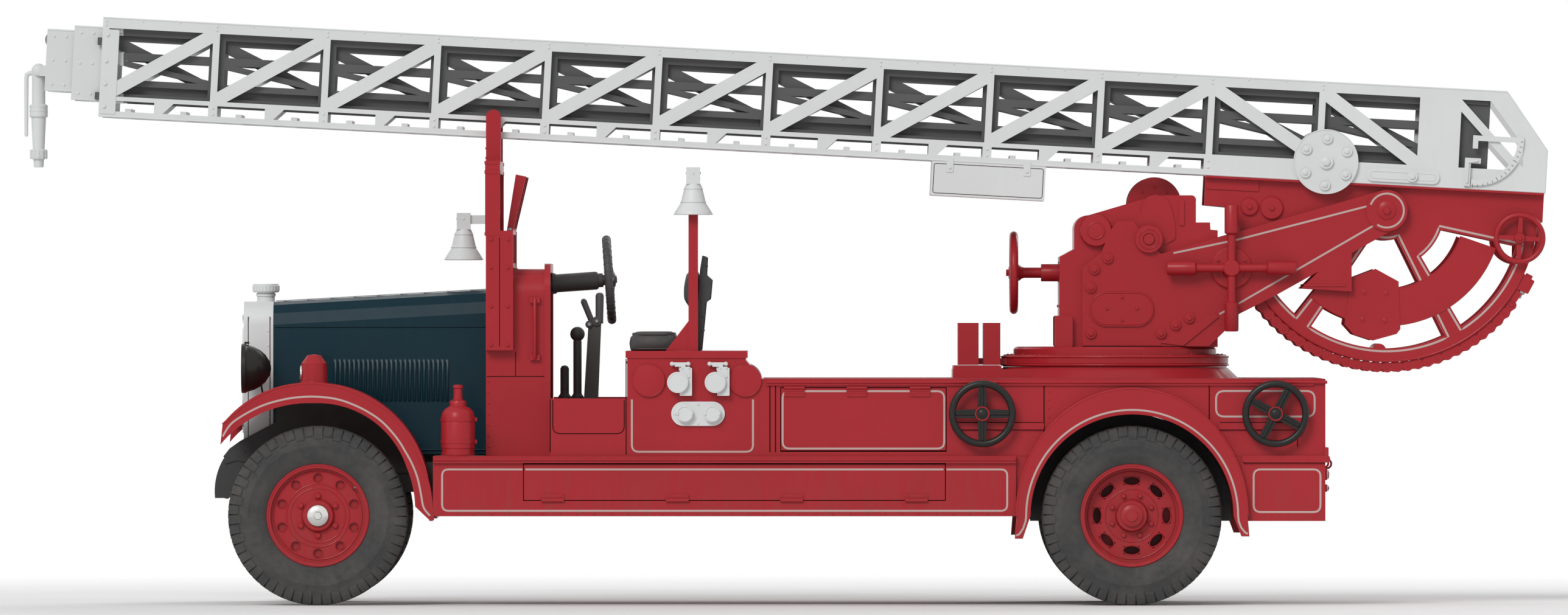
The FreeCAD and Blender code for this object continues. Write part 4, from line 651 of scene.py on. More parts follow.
def louvre(x, low, high, out, width=18.0):
    verts = [(x, low, 0), (x + width, low, 0), (x + width, high, 0), (x, high, 0),
             (x + width, low + 16, out), (x + width, high - 16, out), (x + 6, low + 24, out * 0.8),
             (x + 6, high - 24, out * 0.8)]
    return verts, [[0, 1, 2, 3], [0, 1, 4, 6], [3, 2, 5, 7], [0, 3, 7, 6], [6, 4, 5, 7], [1, 2, 5, 4]]


def bonnet():
    trim = Piece("bonnet_trim", slot="blue_bonnet")
    front, rear = bonnet_low.x + 8, bonnet_high.x - 8
    for side, _ in SIDES:
        for k in range(25):
            x = -2574 + 26.6 * k
            trim.put(on_side(side, bonnet_half(x + 9) - 1), louvre(x, 1152, 1401, 13))
        for z, radius in ((1583, 6), (880, 7)):
            trim.put(on_side(side), tube([(x, z, bonnet_half(x) + 1) for x in (front, rear)], radius, 10))
        for x in (-2750, -1830):
            trim.put(on_side(side, bonnet_half(x), x, 1000), block((-16, -34, 0), (16, 34, 6)),
                     tube([(0, -26, 8), (0, -20, 20), (0, 20, 20), (0, 26, 8)], 5, 8), finish="steel")
    # the hinge along the ridge
    start, end = Vector((front, 0, 1724)), Vector((rear, 0, 1792))
    trim.put(None, tube([start, end], 8, 12), finish="steel")
    trim.put([at(*start.lerp(end, (k + 0.5) / 9)) for k in range(9)], block((-24, -20, -5), (24, 20, 2)))
    trim.done(bevel=1.5)


def radiator():
    trim = Piece("radiator_trim", slot="silver")
    x, half = radiator_low.x, radiator_high.y
    front = Matrix(((0, 0, -1, x), (1, 0, 0, 0), (0, 1, 0, 0), (0, 0, 0, 1)))
    trim.put(front, ribbon(frame_outline(45 - half, 985, half - 45, 1646, 95), 16, -2, 9, closed=True),
             finish="chrome")
    # the honeycomb core behind the slats
    trim.put(front, block((40 - half, 980, -29.5), (half - 40, 1650, -24)), finish="black")
    trim.put(front, *[block((46 - half, z, -24), (half - 46, z + 3, -20)) for z in range(990, 1636, 15)],
             finish="dark")
    cap = at(x + 118, 0, radiator_high.z)
    trim.put(cap, lathe([(56, -71), (56, -57), (52, -53)], 40),
             lathe([(70, -49), (76, -41), (76, -9), (68, -1), (30, 0), (0, 0)], 40))
    trim.around(cap, 24, block((73, -3, -39), (78, 3, -11)))
    for side, _ in SIDES:
        edge = on_side(side, half)
        for groove in (x + 26, x + 150):
            trim.seam(edge, [(groove, 935), (groove, 1640)])
        trim.spots(edge, [(x + 138, z, 0) for z in range(970, 1640, 84)], rivet(6))
    trim.done(bevel=1.0)


# ---------------------------------------------------------------- lamps, extinguishers and bells
def headlamps():
    low, high = span("headlamps")
    piece = Piece("headlamps_full", slot="black")
    y, z, wall = high.y - 141, (low.z + high.z) / 2, radiator_high.y
    for side, _ in SIDES:
        bowl = facing((1, 0, 0), (low.x, side * y, z))
        piece.put(bowl, lathe([(128, 2), (134, 0), (141, 3), (141, 24), (136, 28), (132, 40), (122, 72),
                               (104, 106), (78, 136), (44, 158), (16, 167), (0, 168)], 64))
        piece.put(bowl @ at(0, 0, 4), round_ring(136, 5, 64, 10))
        piece.put(bowl, lathe([(128, 2), (126, 20), (90, 60), (40, 86), (0, 92)], 64), finish="chrome")
        piece.put(bowl, lathe([(130, 4), (110, 1.2), (60, 0.4), (0, 0.2)], 64),
                  lathe([(0, 92), (14, 88), (16, 60), (10, 46), (0, 42)], 20), finish="lens")
        # the bar, its foot on the radiator, a lug and the cable
        piece.put(None, tube([(low.x + 66, side * (wall + 1), z), (low.x + 66, side * y, z)], 16, 16))
        piece.put(facing((0, side, 0), (low.x + 66, side * wall, z)),
                  lathe([(34, 0), (34, 8), (22, 14), (16, 26)], 24))
        piece.put(at(low.x + 30, side * y, z + 140), block((-14, -14, 0), (14, 14, 12)))
        piece.put(None, tube([(low.x + 110, side * y, z - 90), (low.x + 118, side * (y + wall) / 2, z - 150),
                              (low.x + 110, side * (wall + 4), z - 200)], 6, 8))
    piece.done("headlamps", bevel=0.8)


def extinguishers():
    low, high = span("fire_extinguishers")
    piece = Piece("extinguishers_full")
    for side, _ in SIDES:
        place = at((low.x + high.x) / 2, side * (high.y - 96), low.z)
        piece.put(place, lathe([(88, 0), (96, 4), (96, 14), (93, 18), (93, 40), (96, 44), (96, 222),
                                (93, 230), (92, 240), (84, 256), (70, 270), (52, 280), (47, 284), (47, 308),
                                (43, 314), (28, 316)], 56), lathe([(0, 0), (88, 0)], 56),
                  collar(100, 104, 0, 6, 56, 2), lathe([(30, 312), (31, 322), (26, 326), (24, 380), (29, 386),
                                                        (29, 398), (20, 404), (0, 405)], 32))
        piece.spots(place, [(0, 0, 70), (0, 0, 196)], collar(96.5, 99, 0, 22, 56),
                    block((92, -14, 0), (108, 14, 22)))
    piece.done("fire_extinguishers", bevel=0.6)


def bell_trim():
    """Clappers, crown nuts and rolled mouths on the two bells."""
    piece = Piece("bell_trim", slot="silver")
    for spot in ((scuttle_low.x - 138, 0, 2140), (-519, -980, 2395)):
        place = at(*spot)
        for z, radius, thick, steps, sides in ((-172, 106, 5, 64, 10), (-30, 54, 2.2, 56, 8),
                                               (-104, 73, 2.2, 56, 8)):
            piece.put(place @ at(0, 0, z), round_ring(radius, thick, steps, sides))
        piece.put(place, tube([(0, 0, -36), (0, 0, -138)], 5, 10), finish="steel")
        piece.put(place @ at(0, 0, -140), lathe([(0, -18), (12, -14), (18, -4), (18, 4), (12, 14), (0, 18)],
                                                20), finish="steel")
        piece.put([place @ spin(k / 4) @ facing((1, 0, 0), (39.5, 0, 60)) for k in range(4)], rivet(7))
    piece.done(bevel=0.5)


# ---------------------------------------------------------------- wings and running boards
def front_wings():
    trim = Piece("front_wing_trim")
    x, z = hub_front.x, hub_front.z
    lined = [(-470, 494), (-380, 553), (-280, 600), (-150, 632), (-23, 641), (110, 627), (230, 580),
             (340, 512), (430, 410), (505, 277), (534, 200), (551, 110), (562, 40), (600, 0)]
    lined = [(x - 538, z + 450)] + [(x + dx * (1 + 38 / math.hypot(dx, dz)),
                                     z + dz * (1 + 38 / math.hypot(dx, dz))) for dx, dz in lined]
    crown = [(-538, 522), (-410, 640), (-268, 718), (-150, 747), (-23, 757), (120, 738), (260, 680),
             (416, 591), (520, 450), (630, 201), (648, 80), (654, -20)]
    crown = rounded([(x + dx, z + dz) for dx, dz in crown], 80, closed=False)
    for side, _ in SIDES:
        trim.line(on_side(side, GUARD_SIDE - 30), rounded(lined, 60, closed=False), closed=False)
        trim.put(on_side(side, GUARD_SIDE - 34), tube([(a, b - 4, 0) for a, b in crown], 7, 10))
        # the side lamp on the crown
        lamp = at(x - 23, side * 880, z + 745)
        trim.put(lamp, lathe([(78, 0), (80, 8), (78, 16)], 40))
        glass = lamp @ facing((-1, 0, 0), (-70, 0, 64))
        trim.put(glass, lathe([(38, -6), (44, 0), (44, 8), (38, 10)], 32, closed=True), finish="chrome")
        trim.put(glass, lathe([(0, 9), (22, 8), (40, 2)], 32), finish="lens")
    trim.done(bevel=0.6)


def front_aprons():
    """Dark plates that close the corner between the rail's tip, the radiator and the splash plate."""
    piece = Piece("front_aprons", slot="dark_metal")
    top = [(-3196, 838), (-3160, 884), (-3101, 926), (-2915, 1024), (-2896, 1036)]
    for side, _ in SIDES:
        place = on_side(side)
        piece.put(place, slab(top + [(-2896, 790), (-2952, 790), (-3122, 820), (-3190, 800)], 451, 458),
                  tube([(x, z, 453) for x, z in top], 6, 10))
        piece.spots(place, [(48 * k - 3080, 866, 458) for k in range(4)], rivet(6))
    piece.done(bevel=0.5)


def running_boards():
    trim = Piece("running_board_trim")
    flap_low, flap_high = span("side_flap_left")
    # the lining runs below the flap and round its two ends
    low, high = 538, 773
    start, end = board_low.x + 52, board_high.x - 50
    around_flap = rounded([(flap_low.x - 8, high), (start, high), (start, low), (end, low), (end, high),
                           (flap_high.x + 8, high)], 36, closed=False)
    for side, _ in SIDES:
        tread = on_side(side, 0, 0, board_high.z)
        trim.put(tread, *[block((board_low.x + 12, -0.5, 690 + 23 * k),
                                (scuttle_low.x - 6, 2.5, 700 + 23 * k)) for k in range(16)], finish="dark")
        place = on_side(side, SKIRT_SIDE)
        trim.line(place, around_flap, closed=False)
        trim.put(place, tube([(x, board_high.z - 20, 20) for x in (board_low.x + 4, board_high.x - 4)], 9,
                             10))
        spots = [(board_low.x + 40 + 97 * k, 520, 0) for k in range(34)]
        trim.spots(place, [spot for spot in spots if spot[0] < board_high.x - 20], rivet(6))
    trim.done(bevel=0.8)
    for side, name in SIDES:
        flap = Piece("side_flap_trim_" + name, "side_flap_" + name)
        place = on_side(side, SKIRT_SIDE)
        flap.line(place, [(flap_low.x + 8, high), (flap_high.x - 8, high)], closed=False)
        hinges(flap, place @ at(0, 616, 8), [2398 * share - 1484 for share in (0.07, 0.365, 0.635, 0.93)], 62,
               46, 10)
        flap.done(bevel=0.5)


def hinges(flap, place, spots, half, rivet_at, rise):
    """Hinge knuckles at the given x, with a rivet near each end of their straps."""
    for x in spots:
        flap.put(place, tube([(x - half, 0, 0), (x + half, 0, 0)], 3, 8))
        flap.spots(place, [(x - rivet_at, rise, 0), (x + rivet_at, rise, 0)], rivet(5))


# ---------------------------------------------------------------- scuttle, cab and seat box
def scuttle():
    trim = Piece("scuttle_trim")
    for side, _ in SIDES:
        place = on_side(side, 800)
        # the grab handle
        trim.put(place, *[block((-1448, z - 16, -1), (-1391, z + 16, 26)) for z in (1408, 1733)],
                 tube([(-1420, 1400, 22), (-1420, 1418, 34), (-1420, 1724, 34), (-1420, 1742, 22)], 11, 14))
        trim.seam(place, [(-1694, 1300), (-1340, 1300)])
        trim.seam(place, [(-1530, 1440), (-1530, 1300)])
        trim.spots(place, [(x, z, 0) for z in range(900, 1280, 62) for x in (-1352, -1684)], rivet(6))
    # instrument board with three plain dials, facing the driver
    wall = scuttle_low.x + 160
    trim.put(facing((1, 0, 0), (wall, -80, 1660)), plate(-300, -85, 300, 85, 40, 0, 14))
    for y, radius in ((-80, 56), (80, 42), (-240, 42)):
        dial = facing((1, 0, 0), (wall + 14, y, 1660))
        trim.put(dial, lathe([(radius, 0), (radius + 5, 4), (radius, 12), (radius - 5, 10)], 40, closed=True),
                 finish="chrome")
        trim.put(dial, lathe([(0, 3), (radius - 2, 3)], 40), finish="black")
        trim.put(dial @ Matrix.Rotation(0.7, 4, "Z"), block((-1.5, 0, 3.5), (1.5, radius * 0.7, 5)),
                 finish="silver")
        trim.put([dial @ spin((k - 5) / 12) for k in range(11)],
                 block((-1, radius * 0.72, 3.5), (1, radius * 0.88, 4.5)), finish="silver")
    # pedals on their arms
    for y in (340, 440, 560):
        trim.put(None, tube([(wall + 2, y, 1470), (wall + 60, y, 1380), (wall + 96, y, 1270)], 9, 8),
                 finish="dark")
        trim.put(facing((0.8, 0, 0.6), (wall + 104, y, 1258)), plate(-32, -38, 32, 38, 12, -5, 5),
                 finish="dark")
    trim.done(bevel=0.8)


def cab():
    low, high = span("cab_floor")
    trim = Piece("cab_trim")
    # ribbed rubber mat
    trim.put(None, *[block((low.x + 16, y, 1155), (high.x - 16, y + 26, 1160)) for y in range(-900, 900, 50)],
             finish="rubber")
    panel = rounded([(low.x + 16, high.z - 10), (low.x + 16, 976), (high.x - 16, 976),
                     (high.x - 16, high.z - 10)], 44, closed=False)
    for side, _ in SIDES:
        place = on_side(side, BODY_SIDE)
        trim.seam(place, panel, 6)
        trim.seam(place, [(low.x + 2, 870), (low.x + 2, high.z - 4)], 6)
        # the riser that closes the step's front end beside the scuttle
        trim.put(on_side(side), block((low.x + 1, 850, 806), (low.x + 7, 1138, 1022)))
    # the steering column's sleeve, with a collar where it leaves the scuttle
    column = joint_at("steering_wheel_turn")
    reach = scuttle_high.x - column.x
    trim.put(facing(JOINTS["steering_wheel_turn"]["axis"], column),
             lathe([(30, 10), (44, 10), (50, 24), (51, reach), (60, reach), (60, reach + 14),
                    (52, reach + 26), (52, 452), (46, 462), (40, 464), (40, 490), (30, 492)], 40,
                   closed=True), finish="controls")
    trim.done(bevel=0.8)


def hand_levers():
    """Short lever, gear lever and the forked hand brake, side by side on their gate plate."""
    low, high = span("hand_levers")
    piece = Piece("hand_levers_full", slot="dark_metal", finish="controls")
    piece.put(None, plate(low.x, low.y, high.x, high.y - 5, 12, low.z + 0.3, low.z + 14.3))
    for x, y, radius, top in ((-1260, 150, 25, 1362), (-1186, 60, 24, 1520)):
        piece.put(at(x, y, 0), lathe([(radius + 12, 1171), (radius + 12, 1182), (radius + 2, 1196),
                                      (radius, 1200), (radius, top - 20), (radius * 0.7, top - 6), (0, top)],
                                     24))
    piece.put(at(-1186, 60, 1540), lathe([(42 * math.sin(math.pi * k / 12), -42 * math.cos(math.pi * k / 12))
                                          for k in range(13)], 32))
    brake = on_side(1, -40)
    piece.put(brake, slab(rounded([(-1148, 1171), (-1066, 1171), (-1048, 1628), (-1122, 1606)], 10), -24, 24),
              tube([(-1060, 1600, 0), (-1058, 1758, 0), (-1058, 1770, 0), (-1058, 1777, 0)], [22, 24, 20, 9],
                   18), tube([(-1103, 1612, 0), (-1150, 1728, 0), (-1155, 1741, 0)], [17, 18, 8], 16))
    for x, z, radius in ((-1075, 1613, 28), (-1118, 1595, 22)):
        piece.put(on_side(1, -40, x, z), lathe([(0, -34), (radius - 3, -34), (radius, -31), (radius, 31),
                                                (radius - 3, 34), (0, 34)], 32))
        piece.put(on_side(-1, 74, x, z), nut(12, 8), finish="steel")
    piece.done("hand_levers", bevel=1.0)


def steering_wheel():
    low, high = span("steering_wheel")
    place = facing(JOINTS["steering_wheel_turn"]["axis"], (low + high) / 2)
    piece = Piece("steering_wheel_full", "steering_wheel", "dark_metal", "controls")
    piece.put(place, round_ring(230, 24, 96, 18))
    piece.put([place @ spin(k / 32) @ facing((0, 1, 0), (230, 0, 0)) for k in range(32)],
              round_ring(24.2, 1.8, 18, 6))
    piece.around(place, 4, tube([(40, 0, 14), (120, 0, 5), (222, 0, 0)], [16, 14, 12], 14))
    piece.put(place, lathe([(0, -24), (40, -24), (48, -18), (48, 26), (40, 34), (24, 38), (0, 40)], 36),
              lathe([(22, 38), (20, 44), (0, 46)], 24))
    piece.done("steering_wheel", bevel=0.5)


def seat_box():
    trim = Piece("seat_box_trim")
    start, end = -867, -180
    for side, _ in SIDES:
        place = on_side(side, BODY_SIDE)
        trim.line(place, rounded([(start, 1170), (start, 873), (end, 873), (end, 1170)], 40, closed=False),
                  closed=False)
        trim.seam(place, [(seat_low.x + 3, 856), (seat_low.x + 3, seat_high.z - 44)], 6)
        for x in (seat_low.x + 132, seat_low.x + 679):
            trim.put(on_side(side, OUTLET_FACE, x, 1277), round_ring(90, 2.5, 64, 8),
                     lathe([(93, -13.8), (93, -2), (90, 1), (84, 2), (0, 2)], 64))
    trim.put([facing((-1, 0, 0), (seat_low.x + 9, 300 * k - 900, 1380)) for k in range(7)], rivet(8))
    trim.done(bevel=0.8)


def pump_fittings():
    trim = Piece("pump_trim", slot="silver")
    front = seat_low.x + 9
    for side, _ in SIDES:
        # two outlets with their bodies, handles and bolts
        for x in (front + 287, front + 500):
            place = on_side(side, BODY_SIDE + 70.3, x, 1267)
            trim.put(place, lathe([(44, 0), (44, -14), (34, -16), (0, -16)], 40), finish="steel")
            trim.put(place @ at(0, 0, -2), round_ring(52, 4, 48, 10))
            trim.put(on_side(side, BODY_SIDE), plate(x + 11, 1191, x + 81, 1350, 6, -0.5, 46))
            handle = on_side(side, BODY_SIDE + 28, x + 14, 1364)
            trim.put(handle, tube([(-46, 8, 0), (46, 8, 0)], 9, 14), tube([(0, 8, 0), (0, -30, 0)], 8, 12))
            trim.spots(handle, [(-46, 8, 0), (46, 8, 0)],
                       lathe([(0, -12), (9, -9), (13, 0), (9, 9), (0, 12)], 16))
            trim.spots(on_side(side, BODY_SIDE + 48, x + 45, 1323),
                       [(dx, dz, 0) for dx in (-18, 18) for dz in (-24, 24)], nut(6, 5))
        # two capped inlets on one plate
        for x in (front + 327, front + 483):
            place = on_side(side, BODY_SIDE + 46.3, x, GEAR_HEIGHT)
            trim.put(place, lathe([(34, 0), (34, -10), (0, -10)], 40), finish="dark")
            trim.put(place, round_ring(41, 4, 48, 10))
            trim.around(place, 2, block((36, -7, -6), (46, 7, 8)))
        trim.spots(on_side(side, OUTLET_FACE, front + 402, GEAR_HEIGHT),
                   [(-130, 0, 0), (130, 0, 0), (0, 54, 0), (0, -54, 0)], nut(7, 5))
    trim.done(bevel=0.6)


# ---------------------------------------------------------------- rear body and mudguards
def rear_body():
    trim = Piece("rear_body_trim")
    for side, _ in SIDES:
        place = on_side(side, BODY_SIDE)
        trim.line(place, frame_outline(2447, 1073, 3006, 1218, 46))
        trim.line(place, frame_outline(2660, 531, 3039, 773, 40))
        for x in (-84, -52, 1471, 2408):
            trim.seam(place, [(x, 870), (x, 1248)], 7)
        trim.seam(place, [(2909, 900), (2909, 1005)], 6)
        for start, end in ((945, 1471), (2461, 2904)):
            trim.put(place, plate(start, 999, end, 1037, 10, -1, 14))
            for z in (997, 1039):
                trim.seam(place, [(start + 8, z), (end - 8, z)])
        trim.spots(place, [(1500, 880 + 48 * k, 0) for k in range(8)], rivet(6))
        # rounded edge along the deck's rail and the lower rail
        trim.put(place, tube([(-103, DECK - 19, 14), (3077, DECK - 19, 14)], 9, 10),
                 plate(2592, 812, 3094, 852, 19, 0, 17))
        trim.seam(place, [(2600, 810), (3060, 810)])
        trim.put(on_side(side), block((-120, DECK + 0.2, 735), (3050, DECK + 2.4, 1030)), finish="plate")
    trim.put(None, *[block((start, -730, DECK + 0.2), (end, 730, DECK + 2.4)) for start, end in
                     ((2625, 3050), (-120, 950))], finish="plate")
    # the tread plate on the platform below the step boards
    trim.put(None, block((961, -497, 1338), (slew.x - 653, 497, 1358)))
    trim.put(None, block((965, -493, 1357.5), (slew.x - 657, 493, 1360.5)), finish="plate")
    # the seal between the fixed slewing ring and the turning disc
    trim.put(at(slew.x), collar(425, 640, 1343, 1352, 128))
    # tail: panel lines, two lamps on each side and a pair of rings
    rear = facing((1, 0, 0), (body_high.x - 18, 0, 0))
    for side, _ in SIDES:
        trim.seam(rear, frame_outline(side * 80, 930, side * 960, 1215, 40), 6, closed=True)
        for z, half_y, half_z in ((744, 48, 32), (666, 38, 21)):
            lamp = facing((1, 0, 0), (3067.2, side * 905, z))
            trim.put(lamp, plate(-half_y, -half_z, half_y, half_z, 8, 0, 10))
            trim.put(lamp, lathe([(half_z - 4, 10), (half_z - 5, 19), (half_z - 12, 24), (0, 26)], 28),
                     finish="tail")
            trim.put(lamp @ at(0, 0, 12), round_ring(half_z - 3, 3, 28, 8), finish="chrome")
        trim.put(facing((0, 1, 0), (3092, side * 330, 800)), round_ring(26, 6, 28, 8))
        trim.put(at(0, side * 330), block((3060, -14, 812), (3100, 14, 836)))
    trim.done(bevel=0.8)
    for side, name in SIDES:
        low, high = span("locker_flap_" + name)
        flap = Piece("locker_flap_trim_" + name, "locker_flap_" + name)
        place = on_side(side, BODY_SIDE)
        flap.line(place, frame_outline(low.x + 8, low.z + 10, high.x - 8, 1217, 40))
        knuckles = [943 * share - 25 for share in (0.085, 0.46, 0.84)]
        hinges(flap, place @ at(0, 1204, 8), knuckles, 57, 42, -9)
        flap.put(place, *[tube([(x - 57, 1218, 8), (x + 57, 1218, 8)], 3, 8) for x in knuckles])
        flap.done(bevel=0.5)


def rear_wings():
    trim = Piece("rear_wing_trim")
    x, z = hub_rear.x, hub_rear.z
    lining = [(x - 657, z - 112), (x - 640, z - 104), (x - 618, z - 72), (x - 604, z - 30)]
    lining += arc(601, 180, 0, x, z, 56)
    lining += [(x + 604, z - 30), (x + 618, z - 66), (x + 640, z - 94), (x + 656, z - 102)]
    crown = [(x + 655 * math.cos(math.pi * k / 48), z + 722 * math.sin(math.pi * k / 48), -4)
             for k in range(48, -1, -1)]
    for side, _ in SIDES:
        place = on_side(side, GUARD_SIDE)
        trim.line(place, lining, closed=False)
        trim.put(place, tube(crown, 7, 10))
    trim.done(bevel=0.5)
    # inside each arch: a dark splash plate behind the wheels, cut out over the axle
    liner = Piece("rear_arch_liner", slot="dark_metal")
    foot = 34      # how far its feet reach below the axle
    outer, inner = [math.degrees(math.asin(foot / radius)) for radius in (574, 170)]
    sheet = arc(574, 180 + outer, -outer, x, z, 56) + arc(170, -inner, 180 + inner, x, z, 28)
    for side, _ in SIDES:
        liner.put(on_side(side, 534), slab(sheet, 0, 3), ribbon(arc(571, 176, 4, x, z, 48), 4, 0, 60))
    liner.done()
    # the skirt runs on behind the mudguard, before and behind it
    skirt = Piece("rear_skirt_ends")
    corner = math.degrees(math.asin((848.4 - z) / 603))
    for start, end, edge in ((180 - corner, 175.3, 1312.6), (corner, 10.4, 2589.4)):
        near = arc(603, start, end, x, z, 16)
        for side, _ in SIDES:
            skirt.put(on_side(side, 1030), slab(near + [(edge, near[-1][1]), (edge, near[0][1])], 0, 8))
    skirt.done()


def jack_wheels():
    piece = Piece("jack_handwheels_full", slot="black")
    for side, _ in SIDES:
        for x, degrees in ((hub_rear.x - 850, 0), (hub_rear.x + 813, -28)):
            place = on_side(side, BODY_SIDE + 70.3, x, GEAR_HEIGHT) @ spin(degrees / 360)
            piece.put(place, round_ring(170, 20, 80, 16),
                      lathe([(0, -30), (42, -30), (44, -24), (44, 14), (40, 20), (0, 20)], 40),
                      lathe([(36, -70), (36, -62), (26, -58), (26, -26)], 32))
            piece.around(place, 4, slab(rounded([(34, -26), (162, -22), (162, 22), (34, 26)], 6), -9, 9),
                         tube([(40, 0, 9), (152, 0, 9)], 9, 10))
            piece.put(place @ at(0, 0, 21), round_ring(38, 4, 44, 10), finish="red")
            piece.put(place @ at(0, 0, 18), nut(24, 12))
            piece.spots(place, [(0, 0, 6 * k - 66) for k in range(7)], round_ring(26, 2.4, 32, 6))
    piece.done("jack_handwheels", bevel=0.8)


# ---------------------------------------------------------------- turntable and its gear
TOP_PLATE = 1466     # the turntable's top
CHEEK, ARM = 385, 425


def turret():
    trim = Piece("turret_trim", "turntable")
    middle = slew.x
    casting = rounded([(1990, 2205), (2030, 2216), (2040, 2286), (2068, 2323), (2112, 2337), (2156, 2326),
                       (2189, 2299), (2208, 2254), (2228, 2158), (2228, 2084), (2150, 2040), (2040, 2060),
                       (1990, 2120)], 16)
    guide = rounded([(2248, 2160), (2278, 2160), (2278, 2300), (2262, 2318), (2248, 2306)], 10)
    window = arc(90, 90, 270, middle - 52, 1686, 18) + arc(90, -90, 90, middle + 120, 1686, 18)
    for side, _ in SIDES:
        # painted line along the arm and round its boss
        outer, boss = on_side(side, ARM), on_side(side, ARM + 12)
        trim.line(outer, [(2216, 2002), (2585, 2080), (3322, 2270)], closed=False)
        trim.line(outer, [(3358, 2160), (2590, 1716), (2478, 1654)], closed=False)
        trim.line(boss, arc(97, 160, -124, pivot.x, pivot.z, 60), closed=False)
        trim.put(boss @ at(pivot.x, pivot.z), lathe([(52, 0), (52, 5), (46, 9), (0, 9)], 44),
                 round_ring(52, 3, 44, 8), nut(24, 22))
        # bolt heads on the cover plate, its ribs and the round-ended window
        heads = ((-46, 506), (-122, 443), (-143, 339), (-143, 78), (257, 78), (340, 126), (418, 166))
        trim.spots(on_side(side, ARM + 10, middle, TOP_PLATE), [(x, z, 0) for x, z in heads],
                   lathe([(31, 0), (29, 4), (0, 5)], 32), nut(18, 12))
        trim.put(outer, slab([(2145, 1490), (2447, 1663), (2475, 1639), (2272, 1474)], 0, 10),
                 plate(middle - 190, 1474, middle + 258, 1488, 5, 0, 7),
                 plate(2960, 1812, 3200, 1826, 5, 0, 6))
        trim.put(boss, tube([(x, z, 0) for x, z in window], 4, 8, closed=True))
        trim.spots(boss, [(middle + x, z, 0) for x, z in ((-52, 1686), (34, 1752), (34, 1620), (120, 1686))],
                   nut(10, 8))
        # casting, pulley boss and foot block on the housing's side
        trim.put(on_side(side, CHEEK), slab(casting, -1, 9), slab(guide, -1, 9),
                 plate(1540, 1467, 1642, 1645, 14, -1, 44))
        pulley = on_side(side, CHEEK, 1774, 2130)
        trim.put(pulley, lathe([(93, 0), (93, 30), (86, 40), (52, 42), (52, 46), (20, 50), (0, 50)], 56))
        trim.put(pulley @ at(0, 0, 46), round_ring(46, 4, 44, 8))
        drum_boss = on_side(side, ARM + 22, middle + 188, TOP_PLATE + 616)
        trim.put(drum_boss, lathe([(80, 0), (78, 6), (34, 8)], 48))
        trim.put(drum_boss @ at(0, 0, 8), round_ring(56, 3, 48, 8))
    # tread on the step round the top plate, its ring of screws and two rolled edges
    centre = at(middle)
    trim.put(centre, collar(588, 634, 1421.2, 1423, 96), collar(436, 560, TOP_PLATE + 0.2, TOP_PLATE + 2, 96),
             finish="plate")
    trim.around(centre, 24, rivet(8), spot=(611, 0, 1423))
    trim.spots(centre, [(0, 0, 1364), (0, 0, 1410)], round_ring(649, 5, 128, 8))
    # the housing's front panel
    front = facing((-1, 0, 0), (middle - 321.5, 0, 0))
    trim.seam(front, frame_outline(-330, 1500, 330, 1950, 30), 6, closed=True)
    trim.spots(front, [(y, z, 0) for y in (-355, 355) for z in (1530, 1700, 1900)], rivet(9))
    trim.done(bevel=0.8)


def winch_rope():
    low, high = span("winch_drum")
    x, z = (low.x + high.x) / 2, (low.z + high.z) / 2
    rope = Piece("winch_rope", "turntable", "dark_metal")
    turns, steps = 27, 28
    points = []
    for k in range(turns * steps + 1):
        angle = math.tau * k / steps
        points.append((x + 137 * math.cos(angle), -192 + 384 * k / (turns * steps),
                       z + 137 * math.sin(angle)))
    rope.put(None, tube(points, 6.4, 7), finish="steel")
    for side, _ in SIDES:
        rope.around(facing((0, side, 0), (x, side * 252, z)), 8, nut(9, 6), spot=(100, 0, -1), finish="red")
    rope.done()


def hand_controls():
    piece = Piece("hand_controls_full", "turntable")
    wheel = facing((-1, 0, 0), (slew.x - 578, 0, TOP_PLATE + 425))
    piece.put(wheel, round_ring(213, 24, 88, 16),
              lathe([(0, 30), (30, 30), (44, 24), (58, 8), (58, -6), (44, -34), (34, -46), (30, -60),
                     (30, -157)], 44),
              lathe([(48, -156), (50, -160), (50, -250), (54, -252), (54, -257)], 44))
    piece.around(wheel, 4, tube([(38, 0, 2), (206, 0, 0)], [19, 14], 16))
    piece.put(wheel @ at(0, 0, 30), nut(22, 14))
    # the cross of four grips on the left side
    hub = on_side(-1, 425.3, pivot.x - 886, TOP_PLATE + 450)
    piece.put(hub, lathe([(117, 0), (117, 14), (112, 20), (62, 24), (50, 34), (48, 40), (48, 88), (42, 95),
                          (0, 96)], 56))
    piece.put(hub @ at(0, 0, 10), round_ring(117, 3, 64, 8))
    piece.around(hub, 6, nut(10, 8), spot=(88, 0, 21), shift=0.5)
    for k, reach in enumerate((369, 361, 369, 361)):
        grip = reach - 165
        piece.put(hub @ at(0, 0, 65) @ spin(k / 4) @ facing((1, 0, 0)),
                  lathe([(24, 30), (24, grip - 6), (34, grip), (40, grip + 6), (40, reach - 8),
                         (36, reach - 1), (30, reach), (0, reach)], 32))
    piece.done("hand_controls", bevel=0.6)


# ---------------------------------------------------------------- quadrants, their chains and the ladder
RIM = 862.0          # the quadrants' outer radius


def polar(radius, degrees):
    return radius * math.cos(math.radians(degrees)), radius * math.sin(math.radians(degrees))


